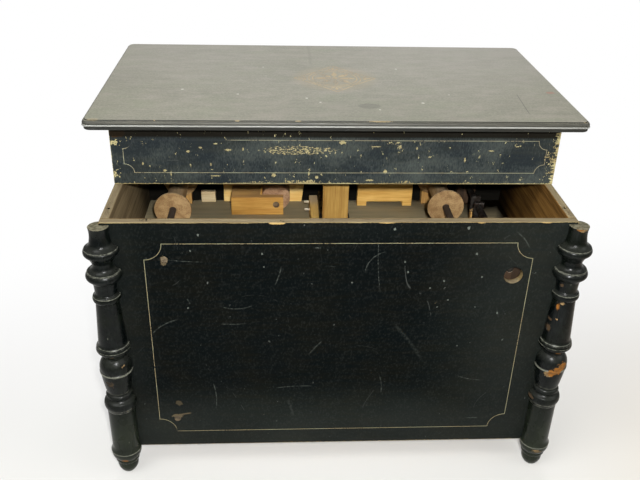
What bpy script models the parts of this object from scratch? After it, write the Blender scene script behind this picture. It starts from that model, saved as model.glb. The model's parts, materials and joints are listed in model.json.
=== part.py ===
# Hand-cranked paper-roll reed organ in an ebonised wooden case.
#
# Metres, +Z up, front towards -Y. Sizes below are laid out in the case's own frame:
# x = 0 on the case's middle, y = 0 on the outer face of the front panel, z = 0 on the
# ground. The empty case_frame carries that frame into the part's frame, whose origin
# is under the middle of the whole instrument, its loose lid pushed back.

import bpy
import bmesh
import math
from mathutils import Matrix, Vector

# Clearances
GAP = 0.0003              # between pieces that touch
RUN_GAP = 0.0003          # all round a shaft in its bore
SWING_GAP = 0.0020        # beside a part that swings

# Case
CASE_WIDTH = 0.430
CASE_DEPTH = 0.222
CASE_HEIGHT = 0.262
FOOT_HEIGHT = 0.029
WALL = 0.008
FLOOR_THICKNESS = 0.008
FLOOR_RECESS = 0.002
CRANK_HOLE_RADIUS = 0.009
PLUG_RADIUS = 0.0033
PLUG_DEPTH = 0.006
PLUG_FROM_SIDE = 0.0545
PLUG_BELOW_TOP = 0.0383
PLUG_ABOVE_BOTTOM = 0.035
PIN_HOLE_RADIUS = 0.0015
PIN_HOLE_DEPTH = 0.012
PIN_HOLE_Y = 0.028

CASE_TOP = FOOT_HEIGHT + CASE_HEIGHT
INSIDE_X = CASE_WIDTH / 2 - WALL
INSIDE_BACK = CASE_DEPTH - WALL
PLUG_X = -CASE_WIDTH / 2 + PLUG_FROM_SIDE
PLUG_UPPER_Z = CASE_TOP - PLUG_BELOW_TOP
PLUG_LOWER_Z = FOOT_HEIGHT + PLUG_ABOVE_BOTTOM

# Corner columns and rear feet
COLUMN_FORWARD = 0.002
COLUMN_TOP_DROP = 0.0025
COLUMN_STEPS = 24
REAR_FOOT_INSET = 0.019

# Turnings of a column: (radius, distance) at each end of an arc, its bulge and its points.
# The crown is measured down from the case's top, the base up from its underside, and
# the tapered shaft between them takes whatever height is left.
CROWN_TURNINGS = (
    ((0.0092, COLUMN_TOP_DROP), (0.0152, 0.0220), -0.0017, 4),
    ((0.0152, 0.0220), (0.0152, 0.0310), 0.0014, 4),
    ((0.0152, 0.0310), (0.0096, 0.0390), -0.0008, 3),
    ((0.0096, 0.0390), (0.0152, 0.0450), -0.0008, 3),
    ((0.0152, 0.0450), (0.0152, 0.0560), 0.0016, 4),
    ((0.0152, 0.0560), (0.0103, 0.0620), -0.0006, 2),
    ((0.0103, 0.0680), (0.0110, 0.0695), 0.0, 1),
    ((0.0110, 0.0695), (0.0110, 0.0780), 0.0022, 4),
)
SHAFT_TOP = (0.0112, 0.0820)
SHAFT_BOTTOM = (0.0134, 0.1380)
SHAFT_BULGE = 0.0003
BASE_TURNINGS = (
    ((0.0134, 0.1380), (0.0158, 0.1310), -0.0004, 2),
    ((0.0158, 0.1310), (0.0158, 0.1260), 0.0008, 2),
    ((0.0158, 0.1260), (0.0122, 0.1190), 0.0008, 3),
    ((0.0122, 0.1190), (0.0162, 0.1030), 0.0012, 4),
    ((0.0158, 0.1010), (0.0119, 0.0780), 0.0002, 2),
    ((0.0119, 0.0760), (0.0116, 0.0700), 0.0012, 3),
    ((0.0116, 0.0700), (0.0150, 0.0640), 0.0006, 3),
    ((0.0150, 0.0640), (0.0150, 0.0560), 0.0008, 3),
    ((0.0150, 0.0560), (0.0136, 0.0500), -0.0003, 2),
    ((0.0134, 0.0070), (0.0134, 0.0070), 0.0, 1),
)
# Turnings of a foot, its distances measured up from the ground but for the ring's
FOOT_RING_RISE = 0.007
FOOT_TURNINGS = (
    ((0.0134, FOOT_HEIGHT + FOOT_RING_RISE), (0.0152, FOOT_HEIGHT), 0.0005, 3),
    ((0.0152, FOOT_HEIGHT), (0.0130, 0.0200), 0.0010, 3),
    ((0.0130, 0.0200), (0.0122, 0.0135), 0.0008, 2),
    ((0.0122, 0.0135), (0.0070, 0.0), 0.0022, 4),
)

# Lid
LID_RAIL_HEIGHT = 0.062
LID_RAIL_THICKNESS = 0.008
LID_BOARD_THICKNESS = 0.0100
LID_OVERHANG = 0.020
LID_CORNER_RADIUS = 0.006
LID_PUSHED_BACK = 0.079

LID_BOARD_BOTTOM = CASE_TOP + LID_RAIL_HEIGHT + GAP

# Shelf that closes the wind chest and carries the roll mechanism
PAN_BELOW_TOP = 0.083
PAN_THICKNESS = 0.008
CLEAT_WIDTH = 0.010
CLEAT_HEIGHT = 0.0115

PAN_TOP = CASE_TOP - PAN_BELOW_TOP
PAN_BOTTOM = PAN_TOP - PAN_THICKNESS

# Bellows board and wind chest
CHEST_DEPTH = 0.052
BELLOWS_BOARD_THICKNESS = 0.008
BELLOWS_BOARD_SHORT = 0.073
CHEST_END_THICKNESS = 0.008
PORT_RADIUS = 0.009

BELLOWS_BOARD_TOP = PAN_BOTTOM - CHEST_DEPTH
BELLOWS_BOARD_BOTTOM = BELLOWS_BOARD_TOP - BELLOWS_BOARD_THICKNESS
BELLOWS_BOARD_END = INSIDE_X - BELLOWS_BOARD_SHORT

# Tracker, reeds and paper guide
NOTES = 22
NOTE_PITCH = 0.0034
NOTE_SLOT_WIDTH = 0.0018
NOTE_SLOT_LENGTH = 0.009
TRACKER_X = 0.0029
TRACKER_WIDTH = 0.027
TRACKER_MARGIN = 0.0023
TRACKER_FROM_BACK = 0.008
TRACKER_HEIGHT = 0.0152
REED_BLOCK_WIDTH = 0.072
REED_BLOCK_HEIGHT = 0.016
REED_PLATE_WIDTH = 0.060
REED_PLATE_THICKNESS = 0.0016
REED_TONGUE_THICKNESS = 0.0006
REED_TONGUE_LIFT = 0.0007
REED_LONGEST = 0.040
REED_SHORTEST = 0.016
REED_WIDTH = 0.0016
GUIDE_WIDTH = 0.0092
GUIDE_HEIGHT = 0.018
GUIDE_PAST_TRACKER = 0.020
GUIDE_SHORT_OF_TRACKER = 0.016
PEG_RADIUS = 0.0013
PEG_LENGTH = 0.0055
PEG_DROP = 0.006
PEG_FROM_BACK = 0.005
PEG_SPACING = 0.019

NOTE_LENGTH = (NOTES - 1) * NOTE_PITCH
TRACKER_BACK = INSIDE_BACK - TRACKER_FROM_BACK
TRACKER_FRONT = TRACKER_BACK - NOTE_LENGTH - 2 * TRACKER_MARGIN
TRACKER_TOP = PAN_TOP + TRACKER_HEIGHT
NOTE_MIDDLE_Y = (TRACKER_FRONT + TRACKER_BACK) / 2
REED_PLATE_TOP = PAN_BOTTOM - REED_BLOCK_HEIGHT - 2 * GAP
GUIDE_FRONT = TRACKER_FRONT - GUIDE_PAST_TRACKER
GUIDE_BACK = TRACKER_BACK - GUIDE_SHORT_OF_TRACKER
GUIDE_TOP = PAN_TOP + GUIDE_HEIGHT
PEG_BACK_Y = GUIDE_BACK - PEG_FROM_BACK
PEG_FRONT_Y = PEG_BACK_Y - PEG_SPACING

# Pressure flap that holds the paper on the tracker, stored upright
FLAP_THICKNESS = 0.009
FLAP_REACH = 0.085
FLAP_HEEL = 0.004
FLAP_PIN_RADIUS = 0.0015
BRACKET_SHEET = 0.0016
BRACKET_FOOT = 0.012
BRACKET_EYE = 0.0055

FLAP_HINGE_Y = TRACKER_FRONT - BRACKET_SHEET - 2 * GAP - FLAP_THICKNESS / 2
FLAP_HINGE_Z = TRACKER_TOP + GAP + FLAP_THICKNESS / 2
GUIDE_RIGHT = TRACKER_X - TRACKER_WIDTH / 2 - 2 * GAP - BRACKET_SHEET
GUIDE_LEFT = GUIDE_RIGHT - GUIDE_WIDTH

# Bellows: two feeders side by side, driven by the crank, and the reservoir
BELLOWS_SPLIT_X = -0.045
BELLOWS_SPLIT_GAP = 0.005
MOVING_BOARD = 0.007
HINGE_DROP = 0.006
FEEDER_FRONT_CLEARANCE = 0.004
FEEDER_BACK_CLEARANCE = 0.002
FEEDER_SPACING = 0.012
FEEDER_END_INSET = 0.006
FEEDER_ARM_WIDTH = 0.005
FEEDER_ARM_HEIGHT = 0.007
FEEDER_ARM_OVERRUN = 0.006
FEEDER_CLOSED = math.radians(2.0)
RESERVOIR_CLEARANCE = 0.003
RESERVOIR_FROM_SIDE = 0.012
RESERVOIR_OPEN = math.radians(17.0)
LEATHER = 0.0012
LEATHER_HINGE_WIDTH = 0.010
SPRING_WIRE_RADIUS = 0.0012
SPRING_SIDE = 0.030
SPRING_BEND_SHARE = 0.30
SPRING_TIP_SHARE = 0.75

HINGE_Z = BELLOWS_BOARD_BOTTOM - HINGE_DROP
FEEDER_HINGE_X = BELLOWS_SPLIT_X + BELLOWS_SPLIT_GAP
FEEDER_END = BELLOWS_BOARD_END - FEEDER_END_INSET
FEEDERS_START = WALL + CLEAT_WIDTH + FEEDER_FRONT_CLEARANCE
FEEDERS_FINISH = INSIDE_BACK - CLEAT_WIDTH - FEEDER_BACK_CLEARANCE
FEEDER_WIDTH = (FEEDERS_FINISH - FEEDERS_START - FEEDER_SPACING) / 2
FEEDER_FRONT_Y = FEEDERS_START + FEEDER_WIDTH / 2
FEEDER_BACK_Y = FEEDERS_FINISH - FEEDER_WIDTH / 2
RESERVOIR_HINGE_X = BELLOWS_SPLIT_X - BELLOWS_SPLIT_GAP
RESERVOIR_LENGTH = INSIDE_X + RESERVOIR_HINGE_X - RESERVOIR_FROM_SIDE
RESERVOIR_WIDTH = INSIDE_BACK - WALL - 2 * (CLEAT_WIDTH + RESERVOIR_CLEARANCE)

# Spools
SPOOL_CORE_RADIUS = 0.010
SPOOL_FLANGE_RADIUS = 0.0195
SPOOL_FLANGE_THICKNESS = 0.003
SPOOL_PAST_TRACKER = 0.005
SPOOL_SHORT_OF_TRACKER = 0.004
FEED_FROM_SIDE = 0.039
FEED_ABOVE_SHELF = 0.032

SPOOL_FRONT = TRACKER_FRONT - SPOOL_PAST_TRACKER
SPOOL_BACK = TRACKER_BACK - SPOOL_SHORT_OF_TRACKER
FEED_X = -INSIDE_X + FEED_FROM_SIDE
FEED_Z = PAN_TOP + FEED_ABOVE_SHELF

# Bearing posts on the shelf
BEARING_WIDTH = 0.022
BEARING_THICKNESS = 0.010
BEARING_FROM_FRONT = 0.004
BEARING_BEHIND_SPOOL = 0.0015
BEARING_ABOVE_AXIS = 0.013

BEARING_FRONT_Y = WALL + BEARING_FROM_FRONT
BEARING_BACK_Y = SPOOL_BACK + BEARING_BEHIND_SPOOL

# Crankshaft, its two opposed throws, and the connecting rods
CRANK_FROM_SIDE = 0.044
CRANK_ABOVE_SHELF = 0.026
SHAFT_RADIUS = 0.0035
SHAFT_END_INSET = 0.001
CRANK_THROW = 0.015
THROW_BACK_AHEAD = 0.008
THROW_WIDTH = 0.012
WEB_THICKNESS = 0.004
WEB_HALF_WIDTH = 0.0055
ROD_WIDTH = 0.013
ROD_THICKNESS = 0.008
ROD_PIN_HOLE = 0.0022

CRANK_X = INSIDE_X - CRANK_FROM_SIDE
CRANK_Z = PAN_TOP + CRANK_ABOVE_SHELF
SHAFT_FRONT = BEARING_FRONT_Y
SHAFT_BACK = BEARING_BACK_Y + BEARING_THICKNESS - SHAFT_END_INSET
THROW_FRONT_Y = FEEDER_FRONT_Y
THROW_BACK_Y = FEEDER_BACK_Y - THROW_BACK_AHEAD
FEEDER_ARM_REACH = CRANK_X - FEEDER_HINGE_X
FEEDER_CLOSED_DROP = math.tan(FEEDER_CLOSED) * FEEDER_ARM_REACH
FEEDER_OPEN = math.atan((FEEDER_CLOSED_DROP + 2 * CRANK_THROW) / FEEDER_ARM_REACH)
ROD_LENGTH = CRANK_Z + CRANK_THROW - HINGE_Z + FEEDER_CLOSED_DROP

# Gear pair between the crankshaft and the take-up spool
GEAR_MODULE = 0.00175
PINION_TEETH = 12
GEAR_TEETH = 36
GEAR_FACE = 0.0064
GEAR_BEHIND_BEARING = 0.0023
GEAR_ABOVE_SHELF = 0.0023
TOOTH_ADDENDUM = 0.70
TOOTH_DEDENDUM = 1.05
TOOTH_SLACK = 0.0004

GEAR_CENTRES = GEAR_MODULE * (PINION_TEETH + GEAR_TEETH) / 2
GEAR_TIP_RADIUS = GEAR_MODULE * (GEAR_TEETH / 2 + TOOTH_ADDENDUM)
GEAR_Y = BEARING_FRONT_Y + BEARING_THICKNESS + GEAR_BEHIND_BEARING + GEAR_FACE / 2
TAKEUP_Z = PAN_TOP + GEAR_ABOVE_SHELF + GEAR_TIP_RADIUS
TAKEUP_X = CRANK_X - math.sqrt(GEAR_CENTRES ** 2 - (TAKEUP_Z - CRANK_Z) ** 2)

# Roller in its wooden bracket at the back left
BRACKET_FROM_GUIDE = 0.0295
BRACKET_LENGTH = 0.0585
BRACKET_FROM_BACK = 0.0055
BRACKET_DEPTH = 0.033
BRACKET_ABOVE_AXIS = 0.0042
BRACKET_CHEEK = 0.0075
BRACKET_REAR_CHEEK = 0.004
ROLLER_FROM_END = 0.0082
ROLLER_RADIUS = 0.0158
ROLLER_GUDGEON = 0.0025
ROLLER_GUDGEON_LENGTH = 0.0030
ROLLER_SCREW_HEAD = 0.0036
ROLLER_SCREW_SHANK = 0.0014
ROLLER_SCREW_DROP = 0.0052
ROLLER_SCREW_LENGTH = 0.0035
SCREW_SLOT = 0.0009

BRACKET_RIGHT = GUIDE_LEFT - BRACKET_FROM_GUIDE
BRACKET_LEFT = BRACKET_RIGHT - BRACKET_LENGTH
BRACKET_BACK = INSIDE_BACK - BRACKET_FROM_BACK
BRACKET_FRONT = BRACKET_BACK - BRACKET_DEPTH
ROLLER_X = BRACKET_RIGHT - ROLLER_FROM_END
ROLLER_Z = PAN_TOP + SWING_GAP + ROLLER_RADIUS

# Rails and stop block along the back of the shelf
RAIL_HEIGHT = 0.032
RAIL_LEFT_THICKNESS = 0.0045
RAIL_LEFT_FROM_GUIDE = 0.004
RAIL_FROM_STOP = 0.0095
RAIL_SLANT = 0.004
RAIL_RIGHT_FROM_TRACKER = 0.0181
RAIL_RIGHT_FROM_SPOOL = 0.004
RAIL_RIGHT_FROM_BACK = 0.0045
RAIL_RIGHT_THICKNESS = 0.012
RAIL_RIGHT_LIFT = 0.0057
RAIL_FOOT_WIDTH = 0.011
STOP_FROM_BEARING = 0.0105
STOP_WIDTH = 0.0165
STOP_DEPTH = 0.006
STOP_HEIGHT = 0.0137

STOP_LEFT = FEED_X + BEARING_WIDTH / 2 + STOP_FROM_BEARING
RAIL_TOP = PAN_TOP + RAIL_HEIGHT
RAIL_LEFT_START = STOP_LEFT + STOP_WIDTH + RAIL_FROM_STOP
RAIL_LEFT_END = GUIDE_LEFT - RAIL_LEFT_FROM_GUIDE
RAIL_RIGHT_START = TRACKER_X + TRACKER_WIDTH / 2 + RAIL_RIGHT_FROM_TRACKER
RAIL_RIGHT_END = TAKEUP_X - SPOOL_FLANGE_RADIUS - RAIL_RIGHT_FROM_SPOOL
RAIL_RIGHT_BACK = INSIDE_BACK - RAIL_RIGHT_FROM_BACK
RAIL_RIGHT_FRONT = RAIL_RIGHT_BACK - RAIL_RIGHT_THICKNESS

PART = bpy.data.collections.new("reed_organ")
CUTTERS = bpy.data.collections.new("cutters")


def clear_scene():
    """Remove every object that the scene holds."""
    for old in list(bpy.data.objects):
        bpy.data.objects.remove(old, do_unlink=True)
    bpy.context.scene.collection.children.link(PART)
    bpy.context.scene.collection.children.link(CUTTERS)


def finish_material(name, color, roughness, metallic=0.0):
    """A plain Principled material for one sub-part."""
    material = bpy.data.materials.new(name)
    material.use_nodes = True
    shader = material.node_tree.nodes["Principled BSDF"]
    shader.inputs["Base Color"].default_value = (*color, 1.0)
    shader.inputs["Roughness"].default_value = roughness
    shader.inputs["Metallic"].default_value = metallic
    return material


EBONISED = ((0.018, 0.018, 0.020), 0.35)
BARE_WOOD = ((0.36, 0.25, 0.13), 0.70)
GOLDEN_WOOD = ((0.55, 0.32, 0.10), 0.60)
DUSTY_WOOD = ((0.30, 0.27, 0.22), 0.85)
PALE_WOOD = ((0.52, 0.44, 0.28), 0.75)
TAN_LEATHER = ((0.42, 0.28, 0.16), 0.80)
STEEL = ((0.42, 0.41, 0.39), 0.40, 1.0)
IRON = ((0.10, 0.10, 0.10), 0.55, 1.0)
BRASS = ((0.62, 0.45, 0.18), 0.35, 1.0)


def add_empty(name, parent, location, tilt=0.0):
    """An empty on a joint's axis, or the frame that the case is drawn in."""
    empty = bpy.data.objects.new(name, None)
    empty.location = location
    empty.rotation_euler = (0.0, tilt, 0.0)
    empty.parent = parent
    empty.empty_display_size = 0.02
    PART.objects.link(empty)
    return empty


def add_piece(name, mesh, finish, body, location=(0, 0, 0)):
    """Put a sub-part's mesh or curve in the part's collection, on its body."""
    piece = bpy.data.objects.new(name, mesh)
    mesh.materials.append(finish_material(name, *finish))
    piece.location = Vector(location) - body_origin(body)
    piece.parent = body
    PART.objects.link(piece)
    return piece


def body_origin(body):
    """Where a body's empty lies in the case's frame."""
    if body is FRAME or body.rotation_euler.y:
        return Vector((0, 0, 0))
    return body.location.copy()


def add_cutter(name, mesh, body, location=(0, 0, 0)):
    """A helper solid for a Boolean: drawn as wire and left out of renders."""
    cutter = bpy.data.objects.new(name, mesh)
    cutter.location = Vector(location) - body_origin(body)
    cutter.parent = body
    cutter.hide_render = True
    cutter.display_type = 'WIRE'
    CUTTERS.objects.link(cutter)
    return cutter


def combine(target, operand, operation):
    """Cut a helper solid from a piece, or weld it on."""
    modifier = target.modifiers.new(operand.name, 'BOOLEAN')
    modifier.operation = operation
    modifier.solver = 'EXACT'
    modifier.object = operand


def boxes_mesh(name, boxes):
    """One mesh with a box for each ((x0, x1), (y0, y1), (z0, z1))."""
    bm = bmesh.new()
    for xs, ys, zs in boxes:
        made = bmesh.ops.create_cube(bm, size=1.0)["verts"]
        size = Vector((xs[1] - xs[0], ys[1] - ys[0], zs[1] - zs[0]))
        middle = Vector((xs[0] + xs[1], ys[0] + ys[1], zs[0] + zs[1])) / 2
        bmesh.ops.scale(bm, vec=size, verts=made)
        bmesh.ops.translate(bm, vec=middle, verts=made)
    mesh = bpy.data.meshes.new(name)
    bm.to_mesh(mesh)
    bm.free()
    return mesh


def board(name, xs, ys, zs, finish, body):
    """A plain rectangular board, its origin at its middle."""
    middle = Vector((sum(xs) / 2, sum(ys) / 2, sum(zs) / 2))
    around = [(low - m, high - m) for (low, high), m in zip((xs, ys, zs), middle)]
    return add_piece(name, boxes_mesh(name, [around]), finish, body, middle)


def cut_boxes(target, name, boxes, body):
    """Cut boxes, given in the body's drawing frame, out of a piece."""
    combine(target, add_cutter(name, boxes_mesh(name, boxes), body), 'DIFFERENCE')


AXIS_TURNS = {
    'X': Matrix.Rotation(math.pi / 2, 4, 'Y'),
    'Y': Matrix.Rotation(-math.pi / 2, 4, 'X'),
    'Z': Matrix.Identity(4),
}


def cylinders_mesh(name, rods, steps=24):
    """One mesh with a cylinder for each (centre, radius, length, axis)."""
    bm = bmesh.new()
    for centre, radius, length, axis in rods:
        bmesh.ops.create_cone(bm, cap_ends=True, segments=steps, radius1=radius, radius2=radius,
                              depth=length, matrix=Matrix.Translation(centre) @ AXIS_TURNS[axis])
    mesh = bpy.data.meshes.new(name)
    bm.to_mesh(mesh)
    bm.free()
    return mesh


def cut_cylinder(target, name, centre, radius, length, axis, body, steps=24):
    """Bore a round hole through a piece."""
    mesh = cylinders_mesh(name, [((0, 0, 0), radius, length, axis)], steps)
    combine(target, add_cutter(name, mesh, body, centre), 'DIFFERENCE')


def arc(start, end, bulge, count):
    """Points after start, up to end, on an arc that stands out by bulge (hollow if negative)."""
    start, end = Vector(start), Vector(end)
    chord = end - start
    outward = Vector((-chord.y, chord.x)).normalized()
    points = []
    for i in range(1, count + 1):
        t = i / count
        points.append(start + chord * t + outward * bulge * 4 * t * (1 - t))
    return points


def arcs(turnings, height_of):
    """Points along a run of turnings, their distances made heights by height_of."""
    points = []
    for (radius, distance), (next_radius, next_distance), bulge, count in turnings:
        start = (radius, height_of(distance))
        if not points or (points[-1] - Vector(start)).length > GAP:
            points.append(Vector(start))
        points += arc(start, (next_radius, height_of(next_distance)), bulge, count)
    return points


def foot_profile():
    """The turned foot below the case, from its ring down to the ground: (radius, height)."""
    return arcs(FOOT_TURNINGS, lambda distance: distance)


def column_profile():
    """The turned corner column from its top disc to the ground: (radius, height)."""
    shaft = ((SHAFT_TOP[0], CASE_TOP - SHAFT_TOP[1]), (SHAFT_BOTTOM[0], FOOT_HEIGHT + SHAFT_BOTTOM[1]))
    points = arcs(CROWN_TURNINGS, lambda distance: CASE_TOP - distance)
    points += [Vector(shaft[0])] + arc(*shaft, SHAFT_BULGE, 2)
    points += arcs(BASE_TURNINGS, lambda distance: FOOT_HEIGHT + distance)[1:]
    return points + foot_profile()[1:]


def turned(name, profile, finish, body, location, steps=COLUMN_STEPS):
    """A turned solid: the profile's (radius, height) points carried round the Z axis."""
    points = [Vector((0.0, profile[0].y))] + list(profile) + [Vector((0.0, profile[-1].y))]
    mesh = bpy.data.meshes.new(name)
    mesh.from_pydata([(p.x, 0.0, p.y) for p in points], [(i, i + 1) for i in range(len(points) - 1)], [])
    piece = add_piece(name, mesh, finish, body, location)
    screw = piece.modifiers.new("turning", 'SCREW')
    screw.axis = 'Z'
    screw.steps = steps
    screw.render_steps = steps
    screw.use_merge_vertices = True
    screw.merge_threshold = 0.00001
    screw.use_smooth_shade = True
    return piece


def outline_curve(name, outlines, half_thickness):
    """A 2D curve filled between closed outlines of (x, z) points, standing in the XZ plane."""
    curve = bpy.data.curves.new(name, 'CURVE')
    curve.dimensions = '2D'
    curve.fill_mode = 'BOTH'
    curve.extrude = half_thickness
    for outline in outlines:
        spline = curve.splines.new('POLY')
        spline.points.add(len(outline) - 1)
        for point, (x, y) in zip(spline.points, outline):
            point.co = (x, y, 0.0, 1.0)
        spline.use_cyclic_u = True
    return curve


def plate_in_xz(name, outlines, thickness, finish, body, location):
    """A flat plate whose outline is drawn as seen from the front."""
    piece = add_piece(name, outline_curve(name, outlines, thickness / 2), finish, body, location)
    piece.rotation_euler = (math.pi / 2, 0.0, 0.0)
    return piece


def circle_points(radius, count=24):
    """Points round a circle about the origin."""
    return [(radius * math.cos(2 * math.pi * i / count), radius * math.sin(2 * math.pi * i / count))
            for i in range(count)]


def bore_radius(shaft_radius, steps=24):
    """Corner radius of a faceted bore whose flats clear the shaft by RUN_GAP."""
    return (shaft_radius + RUN_GAP) / math.cos(math.pi / steps)


def build_case():
    """Front, back, sides and floor of the case, butt-jointed, with the crank's hole."""
    half = CASE_WIDTH / 2
    heights = (FOOT_HEIGHT, CASE_TOP)
    front = board("case_front", (-half, half), (0, WALL), heights, EBONISED, FRAME)
    cut_cylinder(front, "crank_hole_cutter", (CRANK_X, WALL / 2, CRANK_Z), CRANK_HOLE_RADIUS,
                 3 * WALL, 'Y', FRAME, 32)
    for label, height in (("upper", PLUG_UPPER_Z), ("lower", PLUG_LOWER_Z)):
        hole = "plug_hole_%s_cutter" % label
        cut_cylinder(front, hole, (PLUG_X, 0, height), PLUG_RADIUS + GAP, 2 * PLUG_DEPTH, 'Y', FRAME, 16)
        plug = cylinders_mesh("front_plug_" + label, [((0, 0, 0), PLUG_RADIUS, PLUG_DEPTH - 2 * GAP, 'Y')], 16)
        add_piece("front_plug_" + label, plug, BARE_WOOD, FRAME, (PLUG_X, PLUG_DEPTH / 2, height))
    board("case_back", (-half, half), (INSIDE_BACK, CASE_DEPTH), heights, EBONISED, FRAME)
    for label, side in (("left", -1), ("right", 1)):
        xs = sorted((side * half, side * INSIDE_X))
        wall = board("case_%s_side" % label, xs, (WALL + GAP, INSIDE_BACK - GAP), heights, EBONISED, FRAME)
        cut_cylinder(wall, "pin_hole_%s_cutter" % label, (sum(xs) / 2, PIN_HOLE_Y, CASE_TOP),
                     PIN_HOLE_RADIUS, 2 * PIN_HOLE_DEPTH, 'Z', FRAME, 12)
    floor_bottom = FOOT_HEIGHT + FLOOR_RECESS
    board("case_floor", (-INSIDE_X + GAP, INSIDE_X - GAP), (WALL + GAP, INSIDE_BACK - GAP),
          (floor_bottom, floor_bottom + FLOOR_THICKNESS), BARE_WOOD, FRAME)


def build_columns():
    """Three-quarter columns glued round the front corners, and plain turned rear feet."""
    half = CASE_WIDTH / 2
    reach = 3 * WALL
    for label, side in (("left", -1), ("right", 1)):
        column = turned(label + "_column", column_profile(), EBONISED, FRAME, (side * half, -COLUMN_FORWARD, 0))
        corner = sorted((side * (half + GAP), side * (half - reach)))
        cut_boxes(column, label + "_corner_cutter",
                  [(corner, (-GAP, reach), (FOOT_HEIGHT - GAP, CASE_TOP + reach))], FRAME)
        top = FOOT_HEIGHT - GAP
        foot = [p for p in foot_profile() if p.y < top]
        profile = [Vector((foot[0].x, top))] + foot
        turned("rear_foot_" + label, profile, EBONISED, FRAME,
               (side * (half - REAR_FOOT_INSET), CASE_DEPTH - REAR_FOOT_INSET, 0), 24)


def moulded_outline(half_width, half_depth, radius, steps=3):
    """A rectangle with rounded corners, anticlockwise from above."""
    points = []
    for quarter, (sx, sy) in enumerate(((1, 1), (-1, 1), (-1, -1), (1, -1))):
        for i in range(steps + 1):
            turn = math.pi / 2 * (quarter + i / steps)
            points.append((sx * (half_width - radius) + radius * math.cos(turn),
                           sy * (half_depth - radius) + radius * math.sin(turn)))
    return points


def moulded_board(name, half_width, half_depth, section, radius, finish, body, location):
    """A board whose moulded edge section, (inset, height) from the bottom up, runs all round."""
    bm = bmesh.new()
    rings = []
    for inset, height in section:
        outline = moulded_outline(half_width - inset, half_depth - inset, radius)
        rings.append([bm.verts.new((x, y, height)) for x, y in outline])
    for low, high in zip(rings, rings[1:]):
        for i in range(len(low)):
            j = (i + 1) % len(low)
            bm.faces.new((low[i], low[j], high[j], high[i]))
    bm.faces.new(list(reversed(rings[0])))
    bm.faces.new(rings[-1])
    mesh = bpy.data.meshes.new(name)
    bm.to_mesh(mesh)
    bm.free()
    return add_piece(name, mesh, finish, body, location)


def lid_section():
    """Edge of the lid's board from its underside up: bead, step, ovolo, quirk."""
    rise = LID_BOARD_THICKNESS
    points = [(0.0016, 0.0), (0.0004, 0.0010), (0.0004, 0.0022), (0.0014, 0.0032), (0.0006, 0.0034)]
    points += [(0.0, 0.0042)]
    for i in range(1, 4):
        turn = math.pi / 2 * i / 3
        points.append((0.0036 * (1 - math.cos(turn)), 0.0042 + 0.0044 * math.sin(turn)))
    return points + [(0.0044, rise - 0.0010), (0.0046, rise)]


def build_lid():
    """The loose lid: four rails and a moulded top board."""
    half = CASE_WIDTH / 2
    front = LID_PUSHED_BACK
    back = front + CASE_DEPTH
    thick = LID_RAIL_THICKNESS
    heights = (CASE_TOP + GAP, LID_BOARD_BOTTOM - GAP)
    board("lid_front_rail", (-half, half), (front, front + thick), heights, EBONISED, LID)
    board("lid_back_rail", (-half, half), (back - thick, back), heights, EBONISED, LID)
    for label, side in (("left", -1), ("right", 1)):
        xs = sorted((side * half, side * (half - thick)))
        board("lid_%s_rail" % label, xs, (front + thick + GAP, back - thick - GAP), heights, EBONISED, LID)
    moulded_board("lid_top_board", half + LID_OVERHANG, CASE_DEPTH / 2 + LID_OVERHANG, lid_section(),
                  LID_CORNER_RADIUS, EBONISED, LID, (0, (front + back) / 2, LID_BOARD_BOTTOM))


def note_boxes(xs, width, zs):
    """One narrow box across the tracker for each note."""
    boxes = []
    for note in range(NOTES):
        y = NOTE_MIDDLE_Y - NOTE_LENGTH / 2 + note * NOTE_PITCH
        boxes.append((xs, (y - width / 2, y + width / 2), zs))
    return boxes


def build_shelf():
    """The grey shelf over the wind chest, with its side cleats."""
    inner = INSIDE_X - GAP
    depth = (WALL + GAP, INSIDE_BACK - GAP)
    pan = board("pan_board", (-inner, inner), depth, (PAN_BOTTOM, PAN_TOP), DUSTY_WOOD, FRAME)
    slot = CRANK_THROW + ROD_WIDTH / 2 + SWING_GAP
    half_rod = ROD_THICKNESS / 2 + SWING_GAP / 2
    middle = TRACKER_X - NOTE_SLOT_LENGTH / 2
    margin = NOTE_PITCH
    through = (PAN_BOTTOM - PAN_THICKNESS, PAN_TOP + PAN_THICKNESS)
    openings = [((middle, middle + NOTE_SLOT_LENGTH),
                 (NOTE_MIDDLE_Y - NOTE_LENGTH / 2 - margin, NOTE_MIDDLE_Y + NOTE_LENGTH / 2 + margin), through)]
    for y in (THROW_FRONT_Y, THROW_BACK_Y):
        openings.append(((CRANK_X - slot, CRANK_X + slot), (y - half_rod, y + half_rod), through))
    cut_boxes(pan, "pan_slots_cutter", openings, FRAME)
    for label, side in (("left", -1), ("right", 1)):
        xs = sorted((side * inner, side * (inner - CLEAT_WIDTH)))
        board("pan_cleat_" + label, xs, depth, (PAN_BOTTOM - GAP - CLEAT_HEIGHT, PAN_BOTTOM - GAP),
              BARE_WOOD, FRAME)


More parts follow.
